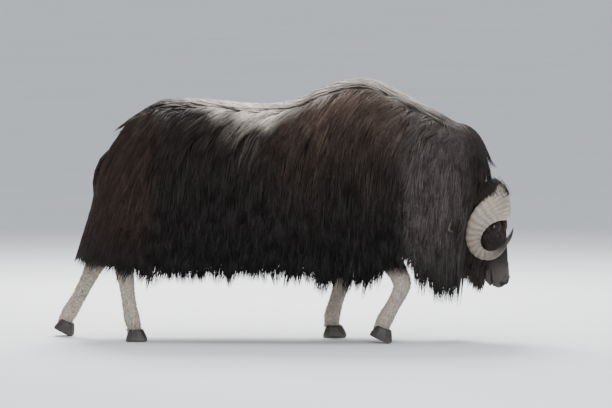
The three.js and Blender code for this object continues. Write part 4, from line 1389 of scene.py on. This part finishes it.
def eye_surface(side):
    """A ball about the eye's middle with its pole facing out: the cornea is a small swelling round
    the pole, and the pupil a level oval on it."""
    latitude = np.linspace(0.01, np.pi - 0.01, 48)[:, None]
    turn = np.linspace(0, 2 * np.pi, 64, endpoint=False)
    swell = EYE_RADIUS - 0.3 + 1.2 * np.exp(-((latitude / 0.5) ** 2))
    y = np.cos(latitude) * swell + 0 * turn
    u = np.sin(latitude) * np.cos(turn) * swell
    v = np.sin(latitude) * np.sin(turn) * swell
    rings = (EYE_PLACE + np.stack([u, y, v], -1)) * [1, side, 1]
    pupil = step(1.15, 0.9, np.hypot(u / 5.0, v / 9.2))
    iris = step(1.1, 0.95, np.hypot(u, v) / 13.0)
    threads = 1 + 0.12 * np.sin(57 * turn + 2 * np.sin(5 * turn))
    colour = over(np.broadcast_to(EYE_WHITE, rings.shape), IRIS, iris)
    colour = over(colour * threads[:, None], PUPIL, pupil)
    return closed_tube(rings), np.clip(colour, 0, 1).reshape(-1, 3)


eye_paint = Paint("wet_eye")
eye_paint.finish(
    Base_Color=eye_paint.stored(eye_paint.range(eye_paint.noise(400, 3), 0.85, 1.1)),
    Roughness=0.12,
    Coat_Weight=1.0,
    Coat_Roughness=0.02,
)
on_both_sides("eyeball_%s", "eye_%s", "eye", eye_surface, eye_paint, [PUPIL, EYE_REAR])

# %% [markdown]
# ## Hooves
# The hooves are broad and round, two claws that spread at the toe, dark and worn at the edge. The
# solids hold their form, but with flat facets, so a copy of each is melted by a voxel remesh that
# rounds its edges. Shallow growth rings, level round the claw, are then pushed out of the walls.

# %% Hoof surfaces and finish
HOOF_VOXEL = 0.0025
hoof_paint = Paint("hoof_horn")
height = hoof_paint.node("ShaderNodeSeparateXYZ", {}, {0: hoof_paint.place()}, out=2)
rings_of_growth = hoof_paint.noise(26, 3, hoof_paint.place((1, 1, 11)))
scuff = (1 - hoof_paint.range(height * 28.0, 0.0, 1.0)) * hoof_paint.noise(60, 3)
hoof_colour = hoof_paint.node(
    "ShaderNodeValToRGB",
    {"stops": [(0.3, (0.010, 0.008, 0.0075)), (0.75, (0.050, 0.040, 0.033))]},
    {0: rings_of_growth},
)
hoof_paint.finish(
    Base_Color=hoof_paint.tint("MIX", scuff * 0.5, hoof_colour, (0.20, 0.17, 0.14)),
    Roughness=hoof_paint.range(rings_of_growth, 0.34, 0.62),
    Normal=hoof_paint.bump(rings_of_growth, 0.35, 0.002),
)


def hoof_surface(name):
    """The solid's corners merged, melted at the hoof's voxel, and each wall point moved out by a
    third of a millimetre times the sine of its height, which wavers round the claw."""
    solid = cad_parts[name]
    turn = np.array(solid.matrix_world)
    points = corners_of(solid.data) @ turn[:3, :3].T + turn[:3, 3]
    merged, index = np.unique(points.round(6), axis=0, return_inverse=True)
    faces = index.ravel()[faces_of(solid.data)[1]]
    mesh = united([(merged, np.zeros((0, 4), int), faces)], HOOF_VOXEL, 16)
    points = corners_of(mesh)
    facing = numbers(mesh.vertices, "normal")
    wall = step(0.75, 0.4, np.abs(facing[:, 2]))
    x, y, z = points.T * 1000
    growth = np.sin(z * 0.62 + 0.5 * np.sin(x / 13) + 0.4 * np.sin(z / 7 + y / 17))
    points += facing * (0.0003 * growth * wall)[:, None]
    mesh.vertices.foreach_set("co", points.astype(np.float32).ravel())
    return mesh


for name in LEGS:
    claws = hoof_surface("hoof_" + name)
    piece("claws_" + name, claws, hoof_paint.material, "hoof", "hoof_" + name)
    print("claws of", name, len(claws.vertices), "corners")

# %% [markdown]
# ## Floor and light
# The photograph is lit from behind and above, which draws a pale rim along the back and leaves the
# near flank dark. Large soft lamps do the same here without hard shadows: a strong one behind and
# above, weaker ones overhead and over the camera, and a pale sky.

# %% Floor, lamps and sky
floor_mesh = bpy.data.meshes.new("floor")
floor_mesh.from_pydata([(-60, -60, 0), (60, -60, 0), (60, 60, 0), (-60, 60, 0)], [], [(0, 1, 2, 3)])
floor = placed("floor", floor_mesh)
floor_paint = Paint("pale_floor")
drift = floor_paint.noise(0.7, 4)
floor_mesh.materials.append(floor_paint.finish(
    Base_Color=floor_paint.tint("MIX", drift, (0.74, 0.76, 0.80), (0.82, 0.83, 0.85)),
    Roughness=0.85,
))


def lamp(name, place, aim, size, power, colour):
    """A square lamp at a place, turned to face its aim."""
    data = bpy.data.lights.new(name, "AREA")
    data.size = size
    data.energy = power
    data.color = colour
    made = placed(name, data)
    x, y, z = np.array(aim, float) - place
    made.location = place
    pitch = math.atan2(z, math.hypot(x, y))
    made.rotation_euler = (math.pi / 2 + pitch, 0, math.atan2(y, x) - math.pi / 2)


lamp("back_lamp", (-0.6, 4.0, 4.8), (0, 0, 0.9), 3.2, 900, (1.0, 0.98, 0.95))
lamp("top_lamp", (0.4, -0.6, 5.2), (0, 0, 0.8), 3.6, 150, (0.96, 0.98, 1.0))
lamp("camera_lamp", (1.5, -6.5, 2.6), (0, 0, 0.7), 4.5, 260, (0.97, 0.98, 1.0))
world = bpy.data.worlds.new("sky")
bpy.context.scene.world = world
world.use_nodes = True
world.node_tree.nodes["Background"].inputs[0].default_value = (0.84, 0.87, 0.92, 1)
world.node_tree.nodes["Background"].inputs[1].default_value = 0.85
print("lamps: 3")
